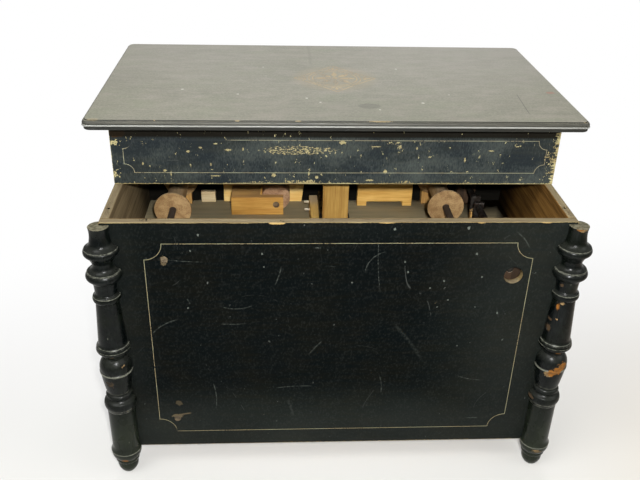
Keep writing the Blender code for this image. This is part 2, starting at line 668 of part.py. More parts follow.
def build_wind_chest():
    """Bellows board on its cleats, with its ports, and the board that ends the chest."""
    left = -INSIDE_X + GAP
    depth = (WALL + GAP, INSIDE_BACK - GAP)
    main = board("bellows_board", (left, BELLOWS_BOARD_END), depth,
                 (BELLOWS_BOARD_BOTTOM, BELLOWS_BOARD_TOP), BARE_WOOD, FRAME)
    middle = (left + BELLOWS_BOARD_END) / 2
    ports = [(FEEDER_HINGE_X / 2 + FEEDER_END / 2, y) for y in (FEEDER_FRONT_Y, FEEDER_BACK_Y)]
    ports.append((RESERVOIR_HINGE_X - RESERVOIR_LENGTH / 2, CASE_DEPTH / 2))
    holes = [((x - middle, y, 0), PORT_RADIUS, 3 * BELLOWS_BOARD_THICKNESS, 'Z') for x, y in ports]
    height = BELLOWS_BOARD_TOP - BELLOWS_BOARD_THICKNESS / 2
    cutter = add_cutter("port_cutter", cylinders_mesh("port_cutter", holes, 16), FRAME, (middle, 0, height))
    combine(main, cutter, 'DIFFERENCE')
    under = (BELLOWS_BOARD_BOTTOM - GAP - CLEAT_HEIGHT, BELLOWS_BOARD_BOTTOM - GAP)
    board("bellows_cleat_front", (left, BELLOWS_BOARD_END), (WALL + GAP, WALL + GAP + CLEAT_WIDTH),
          under, BARE_WOOD, FRAME)
    board("bellows_cleat_back", (left, BELLOWS_BOARD_END),
          (INSIDE_BACK - GAP - CLEAT_WIDTH, INSIDE_BACK - GAP), under, BARE_WOOD, FRAME)
    board("chest_end_board", (BELLOWS_BOARD_END - CHEST_END_THICKNESS, BELLOWS_BOARD_END), depth,
          (BELLOWS_BOARD_TOP + GAP, PAN_BOTTOM - GAP), BARE_WOOD, FRAME)


def build_tracker():
    """Tracker bar with a slot for each note, and the reed block and reeds below the shelf."""
    half = TRACKER_WIDTH / 2
    slot = (TRACKER_X - NOTE_SLOT_LENGTH / 2, TRACKER_X + NOTE_SLOT_LENGTH / 2)
    span = (TRACKER_FRONT, TRACKER_BACK)
    tracker = board("tracker_bar", (TRACKER_X - half, TRACKER_X + half), span,
                    (PAN_TOP + GAP, TRACKER_TOP), BRASS, FRAME)
    cut_boxes(tracker, "tracker_slots_cutter",
              note_boxes(slot, NOTE_SLOT_WIDTH, (PAN_BOTTOM, TRACKER_TOP + PAN_THICKNESS)), FRAME)
    block_half = REED_BLOCK_WIDTH / 2
    block = board("reed_block", (TRACKER_X - block_half, TRACKER_X + block_half), span,
                  (PAN_BOTTOM - GAP - REED_BLOCK_HEIGHT, PAN_BOTTOM - GAP), PALE_WOOD, FRAME)
    cell = (slot[0], TRACKER_X - NOTE_SLOT_LENGTH / 2 + REED_LONGEST)
    cut_boxes(block, "reed_cells_cutter",
              note_boxes(cell, NOTE_SLOT_WIDTH, (PAN_BOTTOM - 2 * REED_BLOCK_HEIGHT, PAN_TOP)), FRAME)
    build_reeds(cell[0])


def build_reeds(root_x):
    """Brass plate with a tongue for each note, long in the bass and short in the treble."""
    bottom = REED_PLATE_TOP - REED_PLATE_THICKNESS
    plate_half = REED_PLATE_WIDTH / 2
    plate = board("reed_plate", (TRACKER_X - plate_half, TRACKER_X + plate_half), (TRACKER_FRONT, TRACKER_BACK),
                  (bottom, REED_PLATE_TOP), BRASS, FRAME)
    slots, tongues = [], []
    for note in range(NOTES):
        y = NOTE_MIDDLE_Y - NOTE_LENGTH / 2 + note * NOTE_PITCH
        share = note / (NOTES - 1)
        length = REED_LONGEST + (REED_SHORTEST - REED_LONGEST) * share
        wide = REED_WIDTH / 2 + 1.5 * GAP / 2
        slots.append(((root_x, root_x + length), (y - wide, y + wide),
                      (bottom - REED_PLATE_THICKNESS, REED_PLATE_TOP + REED_PLATE_THICKNESS)))
        under = bottom - REED_TONGUE_LIFT
        tongues.append(((root_x - REED_TONGUE_LIFT, root_x + length - GAP),
                        (y - REED_WIDTH / 2, y + REED_WIDTH / 2), (under, under + REED_TONGUE_THICKNESS)))
        tongues.append(((root_x - 4 * REED_TONGUE_LIFT, root_x - REED_TONGUE_LIFT / 2),
                        (y - REED_WIDTH / 2, y + REED_WIDTH / 2), (under - GAP, bottom + GAP)))
    cut_boxes(plate, "reed_slots_cutter", slots, FRAME)
    for name, boxes in (("reed_tongues", tongues[0::2]), ("reed_heads", tongues[1::2])):
        combine(plate, add_cutter(name, boxes_mesh(name, boxes), FRAME), 'UNION')


def build_paper_guide():
    """The narrow guide strip beside the tracker, with two pale pegs in its side."""
    board("paper_guide", (GUIDE_LEFT, GUIDE_RIGHT), (GUIDE_FRONT, GUIDE_BACK),
          (PAN_TOP + GAP, GUIDE_TOP), GOLDEN_WOOD, FRAME)
    for label, y in (("front", PEG_FRONT_Y), ("back", PEG_BACK_Y)):
        mesh = cylinders_mesh("guide_peg_" + label, [((0, 0, 0), PEG_RADIUS, PEG_LENGTH, 'X')], 12)
        add_piece("guide_peg_" + label, mesh, PALE_WOOD, FRAME,
                  (GUIDE_LEFT - GAP - PEG_LENGTH / 2, y, GUIDE_TOP - PEG_DROP))


def build_flap():
    """Wooden pressure flap, upright on a pin in a sheet bracket at the front of the tracker."""
    half = TRACKER_WIDTH / 2
    thick = FLAP_THICKNESS / 2
    flap = board("pressure_flap", (TRACKER_X - half, TRACKER_X + half),
                 (FLAP_HINGE_Y - thick, FLAP_HINGE_Y + thick),
                 (FLAP_HINGE_Z - FLAP_HEEL, FLAP_HINGE_Z + FLAP_REACH), GOLDEN_WOOD, FLAP)
    bore = bore_radius(FLAP_PIN_RADIUS, 16)
    axis = (TRACKER_X, FLAP_HINGE_Y, FLAP_HINGE_Z)
    cut_cylinder(flap, "flap_bore_cutter", axis, bore, 2 * TRACKER_WIDTH, 'X', FLAP, 16)
    clear = half + GAP
    outer = clear + BRACKET_SHEET
    front, back = FLAP_HINGE_Y - BRACKET_EYE, TRACKER_FRONT + BRACKET_FOOT
    low, high = PAN_TOP + GAP, FLAP_HINGE_Z + BRACKET_EYE
    bracket = board("flap_bracket", (TRACKER_X - outer, TRACKER_X + outer), (front, back), (low, high),
                    IRON, FRAME)
    strap = TRACKER_FRONT - GAP
    inner = (TRACKER_X - clear, TRACKER_X + clear)
    across = (TRACKER_X - 2 * outer, TRACKER_X + 2 * outer)
    swing_floor = FLAP_HINGE_Z - FLAP_HEEL - SWING_GAP
    below, above = low - WALL, high + WALL
    cut_boxes(bracket, "bracket_front_cutter", [(inner, (front - WALL, strap - BRACKET_SHEET), (below, above))], FRAME)
    cut_boxes(bracket, "bracket_back_cutter", [(inner, (strap, back + WALL), (below, above))], FRAME)
    cut_boxes(bracket, "bracket_strap_cutter", [(inner, (front, back), (swing_floor, above))], FRAME)
    cut_boxes(bracket, "bracket_step_cutter", [(across, (strap, back + WALL), (swing_floor, above))], FRAME)
    cut_cylinder(bracket, "bracket_bore_cutter", axis, bore, 2 * TRACKER_WIDTH, 'X', FRAME, 16)
    pin = cylinders_mesh("flap_pin", [((0, 0, 0), FLAP_PIN_RADIUS, 2 * outer + FLAP_PIN_RADIUS, 'X')], 16)
    add_piece("flap_pin", pin, STEEL, FRAME, axis)


def build_roller():
    """Wooden bracket with a cut-out for a roller that turns on its own gudgeons."""
    bracket = board("roller_bracket", (BRACKET_LEFT, BRACKET_RIGHT), (BRACKET_FRONT, BRACKET_BACK),
                    (PAN_TOP + GAP, ROLLER_Z + BRACKET_ABOVE_AXIS), GOLDEN_WOOD, FRAME)
    clear = ROLLER_RADIUS + SWING_GAP
    bay_front = BRACKET_FRONT + BRACKET_CHEEK
    bay_back = BRACKET_BACK - BRACKET_REAR_CHEEK
    cut_boxes(bracket, "roller_bay_cutter",
              [((ROLLER_X - clear, BRACKET_RIGHT + clear), (bay_front, bay_back), (PAN_BOTTOM, ROLLER_Z + clear))],
              FRAME)
    reach = ROLLER_GUDGEON_LENGTH + GAP
    ends = (bay_front - reach, bay_back + reach)
    bore = cylinders_mesh("gudgeon_cutter", [((0, 0, 0), bore_radius(ROLLER_GUDGEON, 16), ends[1] - ends[0], 'Y')], 16)
    cutter = add_cutter("gudgeon_cutter", bore, FRAME, (ROLLER_X, sum(ends) / 2, ROLLER_Z))
    combine(bracket, cutter, 'DIFFERENCE')
    middle = (bay_front + bay_back) / 2
    width = bay_back - bay_front - 2 * GAP
    roller = add_piece("guide_roller", cylinders_mesh("guide_roller", [((0, 0, 0), ROLLER_RADIUS, width, 'Y')], 40),
                       PALE_WOOD, ROLLER, (ROLLER_X, middle, ROLLER_Z))
    stubs = cylinders_mesh("roller_gudgeons",
                           [((0, 0, 0), ROLLER_GUDGEON, width + 2 * ROLLER_GUDGEON_LENGTH, 'Y')], 16)
    combine(roller, add_cutter("roller_gudgeons", stubs, ROLLER, (ROLLER_X, middle, ROLLER_Z)), 'UNION')
    build_roller_screw(bracket)


def build_roller_screw(bracket):
    """Slotted screw let into the front of the roller's bracket."""
    place = Vector((ROLLER_X, BRACKET_FRONT, ROLLER_Z - ROLLER_SCREW_DROP))
    head = ROLLER_SCREW_HEAD
    sink = head / 3
    cut_cylinder(bracket, "screw_head_cutter", place, head + GAP, 2 * (sink + GAP), 'Y', FRAME, 20)
    cut_cylinder(bracket, "screw_shank_cutter", place, ROLLER_SCREW_SHANK + GAP,
                 2 * (ROLLER_SCREW_LENGTH + GAP), 'Y', FRAME, 12)
    screw = add_piece("roller_screw", cylinders_mesh("roller_screw", [((0, sink / 2, 0), head, sink, 'Y')], 20),
                      STEEL, FRAME, place)
    shank = cylinders_mesh("screw_shank", [((0, ROLLER_SCREW_LENGTH / 2, 0), ROLLER_SCREW_SHANK,
                                            ROLLER_SCREW_LENGTH - GAP, 'Y')], 12)
    combine(screw, add_cutter("screw_shank", shank, FRAME, place), 'UNION')
    slot = boxes_mesh("screw_slot_cutter", [((-SCREW_SLOT / 2, SCREW_SLOT / 2), (-sink, sink / 2), (-2 * head, 2 * head))])
    combine(screw, add_cutter("screw_slot_cutter", slot, FRAME, place), 'DIFFERENCE')


def build_rails():
    """Light-wood rails at the back of the shelf, and a small stop block."""
    back = INSIDE_BACK - GAP
    bottom = PAN_TOP + GAP
    start, end = RAIL_LEFT_START, RAIL_LEFT_END
    outline = [(start, bottom), (end - RAIL_SLANT, bottom), (end, RAIL_TOP), (start, RAIL_TOP)]
    plate_in_xz("back_rail_left", [outline], RAIL_LEFT_THICKNESS, GOLDEN_WOOD, FRAME,
                (0, back - RAIL_LEFT_THICKNESS / 2, 0))
    start, end = RAIL_RIGHT_START, RAIL_RIGHT_END
    rail = board("back_rail_right", (start, end), (RAIL_RIGHT_FRONT, RAIL_RIGHT_BACK), (bottom, RAIL_TOP),
                 GOLDEN_WOOD, FRAME)
    cut_boxes(rail, "rail_arch_cutter",
              [((start + RAIL_FOOT_WIDTH, end - RAIL_FOOT_WIDTH),
                (RAIL_RIGHT_FRONT - RAIL_RIGHT_THICKNESS, RAIL_RIGHT_BACK + RAIL_RIGHT_THICKNESS),
                (PAN_BOTTOM, PAN_TOP + RAIL_RIGHT_LIFT))], FRAME)
    board("stop_block", (STOP_LEFT, STOP_LEFT + STOP_WIDTH), (back - STOP_DEPTH, back),
          (bottom, PAN_TOP + STOP_HEIGHT), PALE_WOOD, FRAME)


def build_bearings():
    """A front and a back bearing post for the crankshaft and for each spool."""
    for label, x, z in (("crank", CRANK_X, CRANK_Z), ("takeup", TAKEUP_X, TAKEUP_Z), ("feed", FEED_X, FEED_Z)):
        for place, y in (("front", BEARING_FRONT_Y), ("back", BEARING_BACK_Y)):
            name = "%s_bearing_%s" % (label, place)
            post = board(name, (x - BEARING_WIDTH / 2, x + BEARING_WIDTH / 2), (y, y + BEARING_THICKNESS),
                         (PAN_TOP + GAP, z + BEARING_ABOVE_AXIS), GOLDEN_WOOD, FRAME)
            cut_cylinder(post, name + "_cutter", (x, y + BEARING_THICKNESS / 2, z),
                         bore_radius(SHAFT_RADIUS), 3 * BEARING_THICKNESS, 'Y', FRAME)


def throw_rods():
    """Journals and pins of the crankshaft: (centre, radius, length, axis) about its own axis."""
    half = THROW_WIDTH / 2 + WEB_THICKNESS
    stations = (SHAFT_FRONT, THROW_FRONT_Y - half, THROW_FRONT_Y + half,
                THROW_BACK_Y - half, THROW_BACK_Y + half, SHAFT_BACK)
    rods = []
    for start, end in zip(stations[0::2], stations[1::2]):
        start -= WEB_THICKNESS / 2 if start > SHAFT_FRONT else 0
        end += WEB_THICKNESS / 2 if end < SHAFT_BACK else 0
        rods.append(((0, (start + end) / 2, 0), SHAFT_RADIUS, end - start, 'Y'))
    for y, height in ((THROW_FRONT_Y, CRANK_THROW), (THROW_BACK_Y, -CRANK_THROW)):
        rods.append(((0, y, height), SHAFT_RADIUS, THROW_WIDTH + WEB_THICKNESS, 'Y'))
    return rods


def build_crankshaft():
    """Iron crankshaft with opposed throws, front one up, and its pinion."""
    rods = throw_rods()
    shaft = add_piece("crankshaft", cylinders_mesh("crankshaft", rods[:1]), IRON, CRANK, (CRANK_X, 0, CRANK_Z))
    webs = []
    for y, side in ((THROW_FRONT_Y, 1), (THROW_BACK_Y, -1)):
        zs = sorted((-side * WEB_HALF_WIDTH, side * (CRANK_THROW + WEB_HALF_WIDTH)))
        for middle in (y - (THROW_WIDTH + WEB_THICKNESS) / 2, y + (THROW_WIDTH + WEB_THICKNESS) / 2):
            webs.append(((-WEB_HALF_WIDTH, WEB_HALF_WIDTH),
                         (middle - WEB_THICKNESS / 2, middle + WEB_THICKNESS / 2), zs))
    combine(shaft, add_cutter("crank_webs", boxes_mesh("crank_webs", webs), CRANK, (CRANK_X, 0, CRANK_Z)), 'UNION')
    combine(shaft, add_cutter("crank_journals", cylinders_mesh("crank_journals", rods[1:]), CRANK,
                              (CRANK_X, 0, CRANK_Z)), 'UNION')
    toward_gear = math.atan2(TAKEUP_Z - CRANK_Z, TAKEUP_X - CRANK_X)
    half_tooth = math.pi / PINION_TEETH
    plate_in_xz("crank_pinion", gear_outlines(PINION_TEETH, toward_gear + half_tooth), GEAR_FACE, BRASS, CRANK,
                (CRANK_X, GEAR_Y, CRANK_Z))


def gear_outlines(teeth, phase):
    """A gear's toothed outline with a tooth centred on phase, and its bore."""
    pitch = GEAR_MODULE * teeth / 2
    root = pitch - TOOTH_DEDENDUM * GEAR_MODULE
    tip = pitch + TOOTH_ADDENDUM * GEAR_MODULE
    half = math.pi / (2 * teeth) - TOOTH_SLACK / (2 * pitch)
    corners = ((root, -1.45), (pitch, -1.0), (tip, -0.5), (tip, 0.5), (pitch, 1.0), (root, 1.45))
    outline = []
    for tooth in range(teeth):
        middle = phase + 2 * math.pi * tooth / teeth
        for radius, share in corners:
            angle = middle + share * half
            outline.append((radius * math.cos(angle), radius * math.sin(angle)))
    return [outline, circle_points(bore_radius(SHAFT_RADIUS))]


def build_rods():
    """Wooden connecting rods hung on the crank's throws, reaching down to the feeders."""
    for label, y, height, body in (("front", THROW_FRONT_Y, CRANK_THROW, ROD_FRONT),
                                   ("back", THROW_BACK_Y, -CRANK_THROW, ROD_BACK)):
        top = CRANK_Z + height
        half = ROD_WIDTH / 2
        strip = board("connecting_rod_" + label, (CRANK_X - half, CRANK_X + half),
                      (y - ROD_THICKNESS / 2, y + ROD_THICKNESS / 2), (top - ROD_LENGTH - half, top + half),
                      GOLDEN_WOOD, body)
        cut_cylinder(strip, "rod_eye_%s_cutter" % label, (CRANK_X, y, top), bore_radius(SHAFT_RADIUS),
                     2 * ROD_THICKNESS, 'Y', body)
        cut_cylinder(strip, "rod_pin_%s_cutter" % label, (CRANK_X, y, top - ROD_LENGTH), ROD_PIN_HOLE,
                     2 * ROD_THICKNESS, 'Y', body, 12)


def spool(name, x, z, body):
    """A wooden spool in one piece: core, two flanges and the shaft that carries them."""
    middle = (SHAFT_FRONT + SHAFT_BACK) / 2
    shaft = [((0, 0, 0), SHAFT_RADIUS, SHAFT_BACK - SHAFT_FRONT - 4 * GAP, 'Y')]
    piece = add_piece(name, cylinders_mesh(name, shaft), PALE_WOOD, body, (x, middle, z))
    core = [((0, (SPOOL_FRONT + SPOOL_BACK) / 2 - middle, 0), SPOOL_CORE_RADIUS, SPOOL_BACK - SPOOL_FRONT, 'Y')]
    combine(piece, add_cutter(name + "_core", cylinders_mesh(name + "_core", core), body, (x, middle, z)), 'UNION')
    thick = SPOOL_FLANGE_THICKNESS
    flanges = [((0, y - middle, 0), SPOOL_FLANGE_RADIUS, thick, 'Y')
               for y in (SPOOL_FRONT + thick / 2 - GAP, SPOOL_BACK - thick / 2 + GAP)]
    mesh = cylinders_mesh(name + "_flanges", flanges, 36)
    combine(piece, add_cutter(name + "_flanges", mesh, body, (x, middle, z)), 'UNION')


def build_spools():
    """Take-up spool with its gear at the right, feed spool at the left."""
    spool("takeup_spool", TAKEUP_X, TAKEUP_Z, TAKEUP)
    toward_pinion = math.atan2(CRANK_Z - TAKEUP_Z, CRANK_X - TAKEUP_X)
    plate_in_xz("takeup_gear", gear_outlines(GEAR_TEETH, toward_pinion), GEAR_FACE, BRASS, TAKEUP,
                (TAKEUP_X, GEAR_Y, TAKEUP_Z))
    spool("feed_spool", FEED_X, FEED_Z, FEED)


def bellows_leather(name, hinge, tilt, length, middle_y, width, side, parent):
    """Leather round three sides of a wedge bellows, with its hinge strip, open to both boards."""
    top = BELLOWS_BOARD_BOTTOM - GAP
    near = hinge.x
    far = hinge.x + side * length
    outer_xs = sorted((near, far))
    ys = (middle_y - width / 2, middle_y + width / 2)
    deep = length * math.sin(tilt) + 4 * MOVING_BOARD
    outer = board(name, outer_xs, ys, (top - deep, top), TAN_LEATHER, parent)
    inner_xs = sorted((near + side * LEATHER_HINGE_WIDTH, far - side * LEATHER))
    cut_boxes(outer, name + "_inside_cutter",
              [(inner_xs, (ys[0] + LEATHER, ys[1] - LEATHER), (top - 2 * deep, top + deep))], parent)
    below = MOVING_BOARD / 2 + GAP
    slab = boxes_mesh(name + "_below_cutter", [(sorted((-side * length, side * 2 * length)), (-width, width),
                                                (below - 4 * deep, below))])
    cutter = add_cutter(name + "_below_cutter", slab, parent, (hinge.x, middle_y, hinge.z))
    cutter.rotation_euler = (0.0, side * tilt, 0.0)
    combine(outer, cutter, 'DIFFERENCE')


def build_feeders():
    """Two feeders: the front one shut and the back one open, as their throws stand."""
    far = FEEDER_END - FEEDER_HINGE_X
    for label, y, rod_y, body, tilt in (("front", FEEDER_FRONT_Y, THROW_FRONT_Y, FEEDER_FRONT, FEEDER_CLOSED),
                                        ("back", FEEDER_BACK_Y, THROW_BACK_Y, FEEDER_BACK, FEEDER_OPEN)):
        half = MOVING_BOARD / 2
        name = "feeder_board_" + label
        plain = boxes_mesh(name, [((0, far), (y - FEEDER_WIDTH / 2, y + FEEDER_WIDTH / 2), (-half, half))])
        moving = add_piece(name, plain, GOLDEN_WOOD, body)
        reach = FEEDER_ARM_REACH / math.cos(tilt) + FEEDER_ARM_OVERRUN
        arm_y = rod_y + ROD_THICKNESS / 2 + SWING_GAP / 2
        arm = boxes_mesh("feeder_arm_" + label, [((far - WALL, reach), (arm_y, arm_y + FEEDER_ARM_WIDTH),
                                                  (-FEEDER_ARM_HEIGHT / 2 - GAP, FEEDER_ARM_HEIGHT / 2 + GAP))])
        combine(moving, add_cutter("feeder_arm_" + label, arm, body), 'UNION')
        eye = cylinders_mesh("feeder_eye_%s_cutter" % label,
                             [((reach - FEEDER_ARM_OVERRUN, arm_y, 0), ROD_PIN_HOLE, 4 * FEEDER_ARM_WIDTH, 'Y')], 12)
        combine(moving, add_cutter("feeder_eye_%s_cutter" % label, eye, body), 'DIFFERENCE')
        hinge = Vector((FEEDER_HINGE_X, y, HINGE_Z))
        bellows_leather("feeder_leather_" + label, hinge, tilt, far, y, FEEDER_WIDTH, 1, FRAME)


def build_reservoir():
    """Sprung-open reservoir at the left: board, leather and bent-wire spring."""
    half = MOVING_BOARD / 2
    middle = CASE_DEPTH / 2
    name = "reservoir_board"
    width = RESERVOIR_WIDTH / 2
    plain = boxes_mesh(name, [((-RESERVOIR_LENGTH, 0), (middle - width, middle + width), (-half, half))])
    add_piece(name, plain, GOLDEN_WOOD, RESERVOIR)
    hinge = Vector((RESERVOIR_HINGE_X, middle, HINGE_Z))
    bellows_leather("reservoir_leather", hinge, RESERVOIR_OPEN, RESERVOIR_LENGTH, middle, RESERVOIR_WIDTH, -1, FRAME)
    build_spring(hinge)


def build_spring(hinge):
    """V spring of round wire that holds the reservoir open: two legs from one bend."""
    top = BELLOWS_BOARD_BOTTOM - GAP - SPRING_WIRE_RADIUS
    lift = MOVING_BOARD / 2 + GAP + SPRING_WIRE_RADIUS
    near = RESERVOIR_LENGTH * SPRING_BEND_SHARE
    low = hinge.z - near * math.tan(RESERVOIR_OPEN) + lift / math.cos(RESERVOIR_OPEN)
    bend = Vector((hinge.x - near, hinge.y + SPRING_SIDE, (low + top) / 2))
    far = RESERVOIR_LENGTH * SPRING_TIP_SHARE
    low_end = Vector((hinge.x - far * math.cos(RESERVOIR_OPEN) - lift * math.sin(RESERVOIR_OPEN),
                      bend.y, hinge.z - far * math.sin(RESERVOIR_OPEN) + lift * math.cos(RESERVOIR_OPEN)))
    high_end = Vector((low_end.x, bend.y, top))
    points = [high_end]
    for i in range(5):
        turn = math.radians(60) - math.radians(120) * i / 4
        radius = 4 * SPRING_WIRE_RADIUS
        points.append(bend + Vector((radius * math.cos(turn), 0, radius * math.sin(turn))))
    points.append(low_end)
    curve = bpy.data.curves.new("reservoir_spring", 'CURVE')
    curve.dimensions = '3D'
    curve.bevel_depth = SPRING_WIRE_RADIUS
    curve.bevel_resolution = 2
    curve.use_fill_caps = True
    spline = curve.splines.new('POLY')
    spline.points.add(len(points) - 1)
    for point, place in zip(spline.points, points):
        point.co = (*place, 1.0)
    add_piece("reservoir_spring", curve, STEEL, FRAME)


clear_scene()

column_reach = max(p.x for p in column_profile()) + COLUMN_FORWARD
lid_reach = LID_PUSHED_BACK + CASE_DEPTH + LID_OVERHANG
FRAME = bpy.data.objects.new("case_frame", None)
FRAME.location = (0.0, (column_reach - lid_reach) / 2, 0.0)
PART.objects.link(FRAME)
LID = add_empty("lid_slide_frame", FRAME, (0, LID_PUSHED_BACK, CASE_TOP))
CRANK = add_empty("crank_axis", FRAME, (CRANK_X, SHAFT_FRONT, CRANK_Z))
ROD_FRONT = add_empty("rod_front_axis", FRAME, (CRANK_X, THROW_FRONT_Y, CRANK_Z + CRANK_THROW))
ROD_BACK = add_empty("rod_back_axis", FRAME, (CRANK_X, THROW_BACK_Y, CRANK_Z - CRANK_THROW))
TAKEUP = add_empty("takeup_axis", FRAME, (TAKEUP_X, SHAFT_FRONT, TAKEUP_Z))
FEED = add_empty("feed_axis", FRAME, (FEED_X, SHAFT_FRONT, FEED_Z))
FLAP = add_empty("flap_axis", FRAME, (TRACKER_X, FLAP_HINGE_Y, FLAP_HINGE_Z))
ROLLER = add_empty("roller_axis", FRAME, (ROLLER_X, BRACKET_FRONT, ROLLER_Z))
FEEDER_FRONT = add_empty("feeder_front_axis", FRAME, (FEEDER_HINGE_X, 0, HINGE_Z), FEEDER_CLOSED)
FEEDER_BACK = add_empty("feeder_back_axis", FRAME, (FEEDER_HINGE_X, 0, HINGE_Z), FEEDER_OPEN)
RESERVOIR = add_empty("reservoir_axis", FRAME, (RESERVOIR_HINGE_X, 0, HINGE_Z), -RESERVOIR_OPEN)

build_case()
build_columns()
build_lid()
build_shelf()
build_wind_chest()
build_tracker()
build_paper_guide()
build_flap()
build_roller()
build_rails()
build_bearings()
build_crankshaft()
build_rods()
build_spools()
build_feeders()
build_reservoir()
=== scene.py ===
import json
import math

import bpy
import bmesh
import numpy as np
from mathutils import Matrix, Vector

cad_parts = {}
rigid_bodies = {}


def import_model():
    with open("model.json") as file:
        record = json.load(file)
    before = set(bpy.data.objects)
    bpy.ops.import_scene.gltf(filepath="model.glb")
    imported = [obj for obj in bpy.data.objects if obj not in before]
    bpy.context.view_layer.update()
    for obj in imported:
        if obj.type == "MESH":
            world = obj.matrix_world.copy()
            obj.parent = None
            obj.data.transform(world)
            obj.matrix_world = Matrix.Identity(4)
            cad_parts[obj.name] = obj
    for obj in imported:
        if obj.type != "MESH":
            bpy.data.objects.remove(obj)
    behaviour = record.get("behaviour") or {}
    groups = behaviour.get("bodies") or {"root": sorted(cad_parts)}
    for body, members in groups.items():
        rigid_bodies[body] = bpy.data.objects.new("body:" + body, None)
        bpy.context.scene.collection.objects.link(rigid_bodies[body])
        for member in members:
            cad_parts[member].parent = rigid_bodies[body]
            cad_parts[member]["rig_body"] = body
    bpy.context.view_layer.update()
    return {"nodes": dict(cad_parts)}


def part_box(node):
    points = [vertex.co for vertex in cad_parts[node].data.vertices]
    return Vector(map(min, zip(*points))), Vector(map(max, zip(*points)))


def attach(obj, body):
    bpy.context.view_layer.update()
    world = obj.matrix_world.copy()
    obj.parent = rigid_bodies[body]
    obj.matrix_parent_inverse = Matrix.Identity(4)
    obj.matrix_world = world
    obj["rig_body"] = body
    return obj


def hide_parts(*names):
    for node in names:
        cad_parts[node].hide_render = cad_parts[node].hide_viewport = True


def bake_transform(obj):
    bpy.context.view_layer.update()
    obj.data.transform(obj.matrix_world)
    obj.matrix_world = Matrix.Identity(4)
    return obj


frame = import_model()


# Floor, light and camera
# A pale sweep to stand on, soft lamps overhead, and a 43 mm lens that looks down on
# the front from just left of its middle.

class Value:
    """One socket of a finish; the operators on it add the Math nodes that work them out."""

    def __init__(self, finish, socket):
        self.finish = finish
        self.socket = socket

    def __add__(self, other):
        return self.finish.math("ADD", self, other)

    def __sub__(self, other):
        return self.finish.math("SUBTRACT", self, other)

    def __rsub__(self, other):
        return self.finish.math("SUBTRACT", other, self)

    def __mul__(self, other):
        return self.finish.math("MULTIPLY", self, other)

    def __truediv__(self, other):
        return self.finish.math("DIVIDE", self, other)

    def __abs__(self):
        return self.finish.math("ABSOLUTE", self)

    __radd__ = __add__
    __rmul__ = __mul__

    def least(self, other):
        return self.finish.math("MINIMUM", self, other)

    def most(self, other):
        return self.finish.math("MAXIMUM", self, other)

    def above(self, limit, fade):
        """1 where the value is over the limit and 0 under it, crossing over within the fade."""
        return self.finish.node("MapRange", {"Value": self, "From Min": limit - fade / 2,
                                             "From Max": limit + fade / 2}, interpolation_type='SMOOTHSTEP')

    def below(self, limit, fade):
        """0 where the value is over the limit and 1 under it, crossing over within the fade."""
        return self.finish.node("MapRange", {"Value": self, "From Min": limit + fade / 2,
                                             "From Max": limit - fade / 2}, interpolation_type='SMOOTHSTEP')


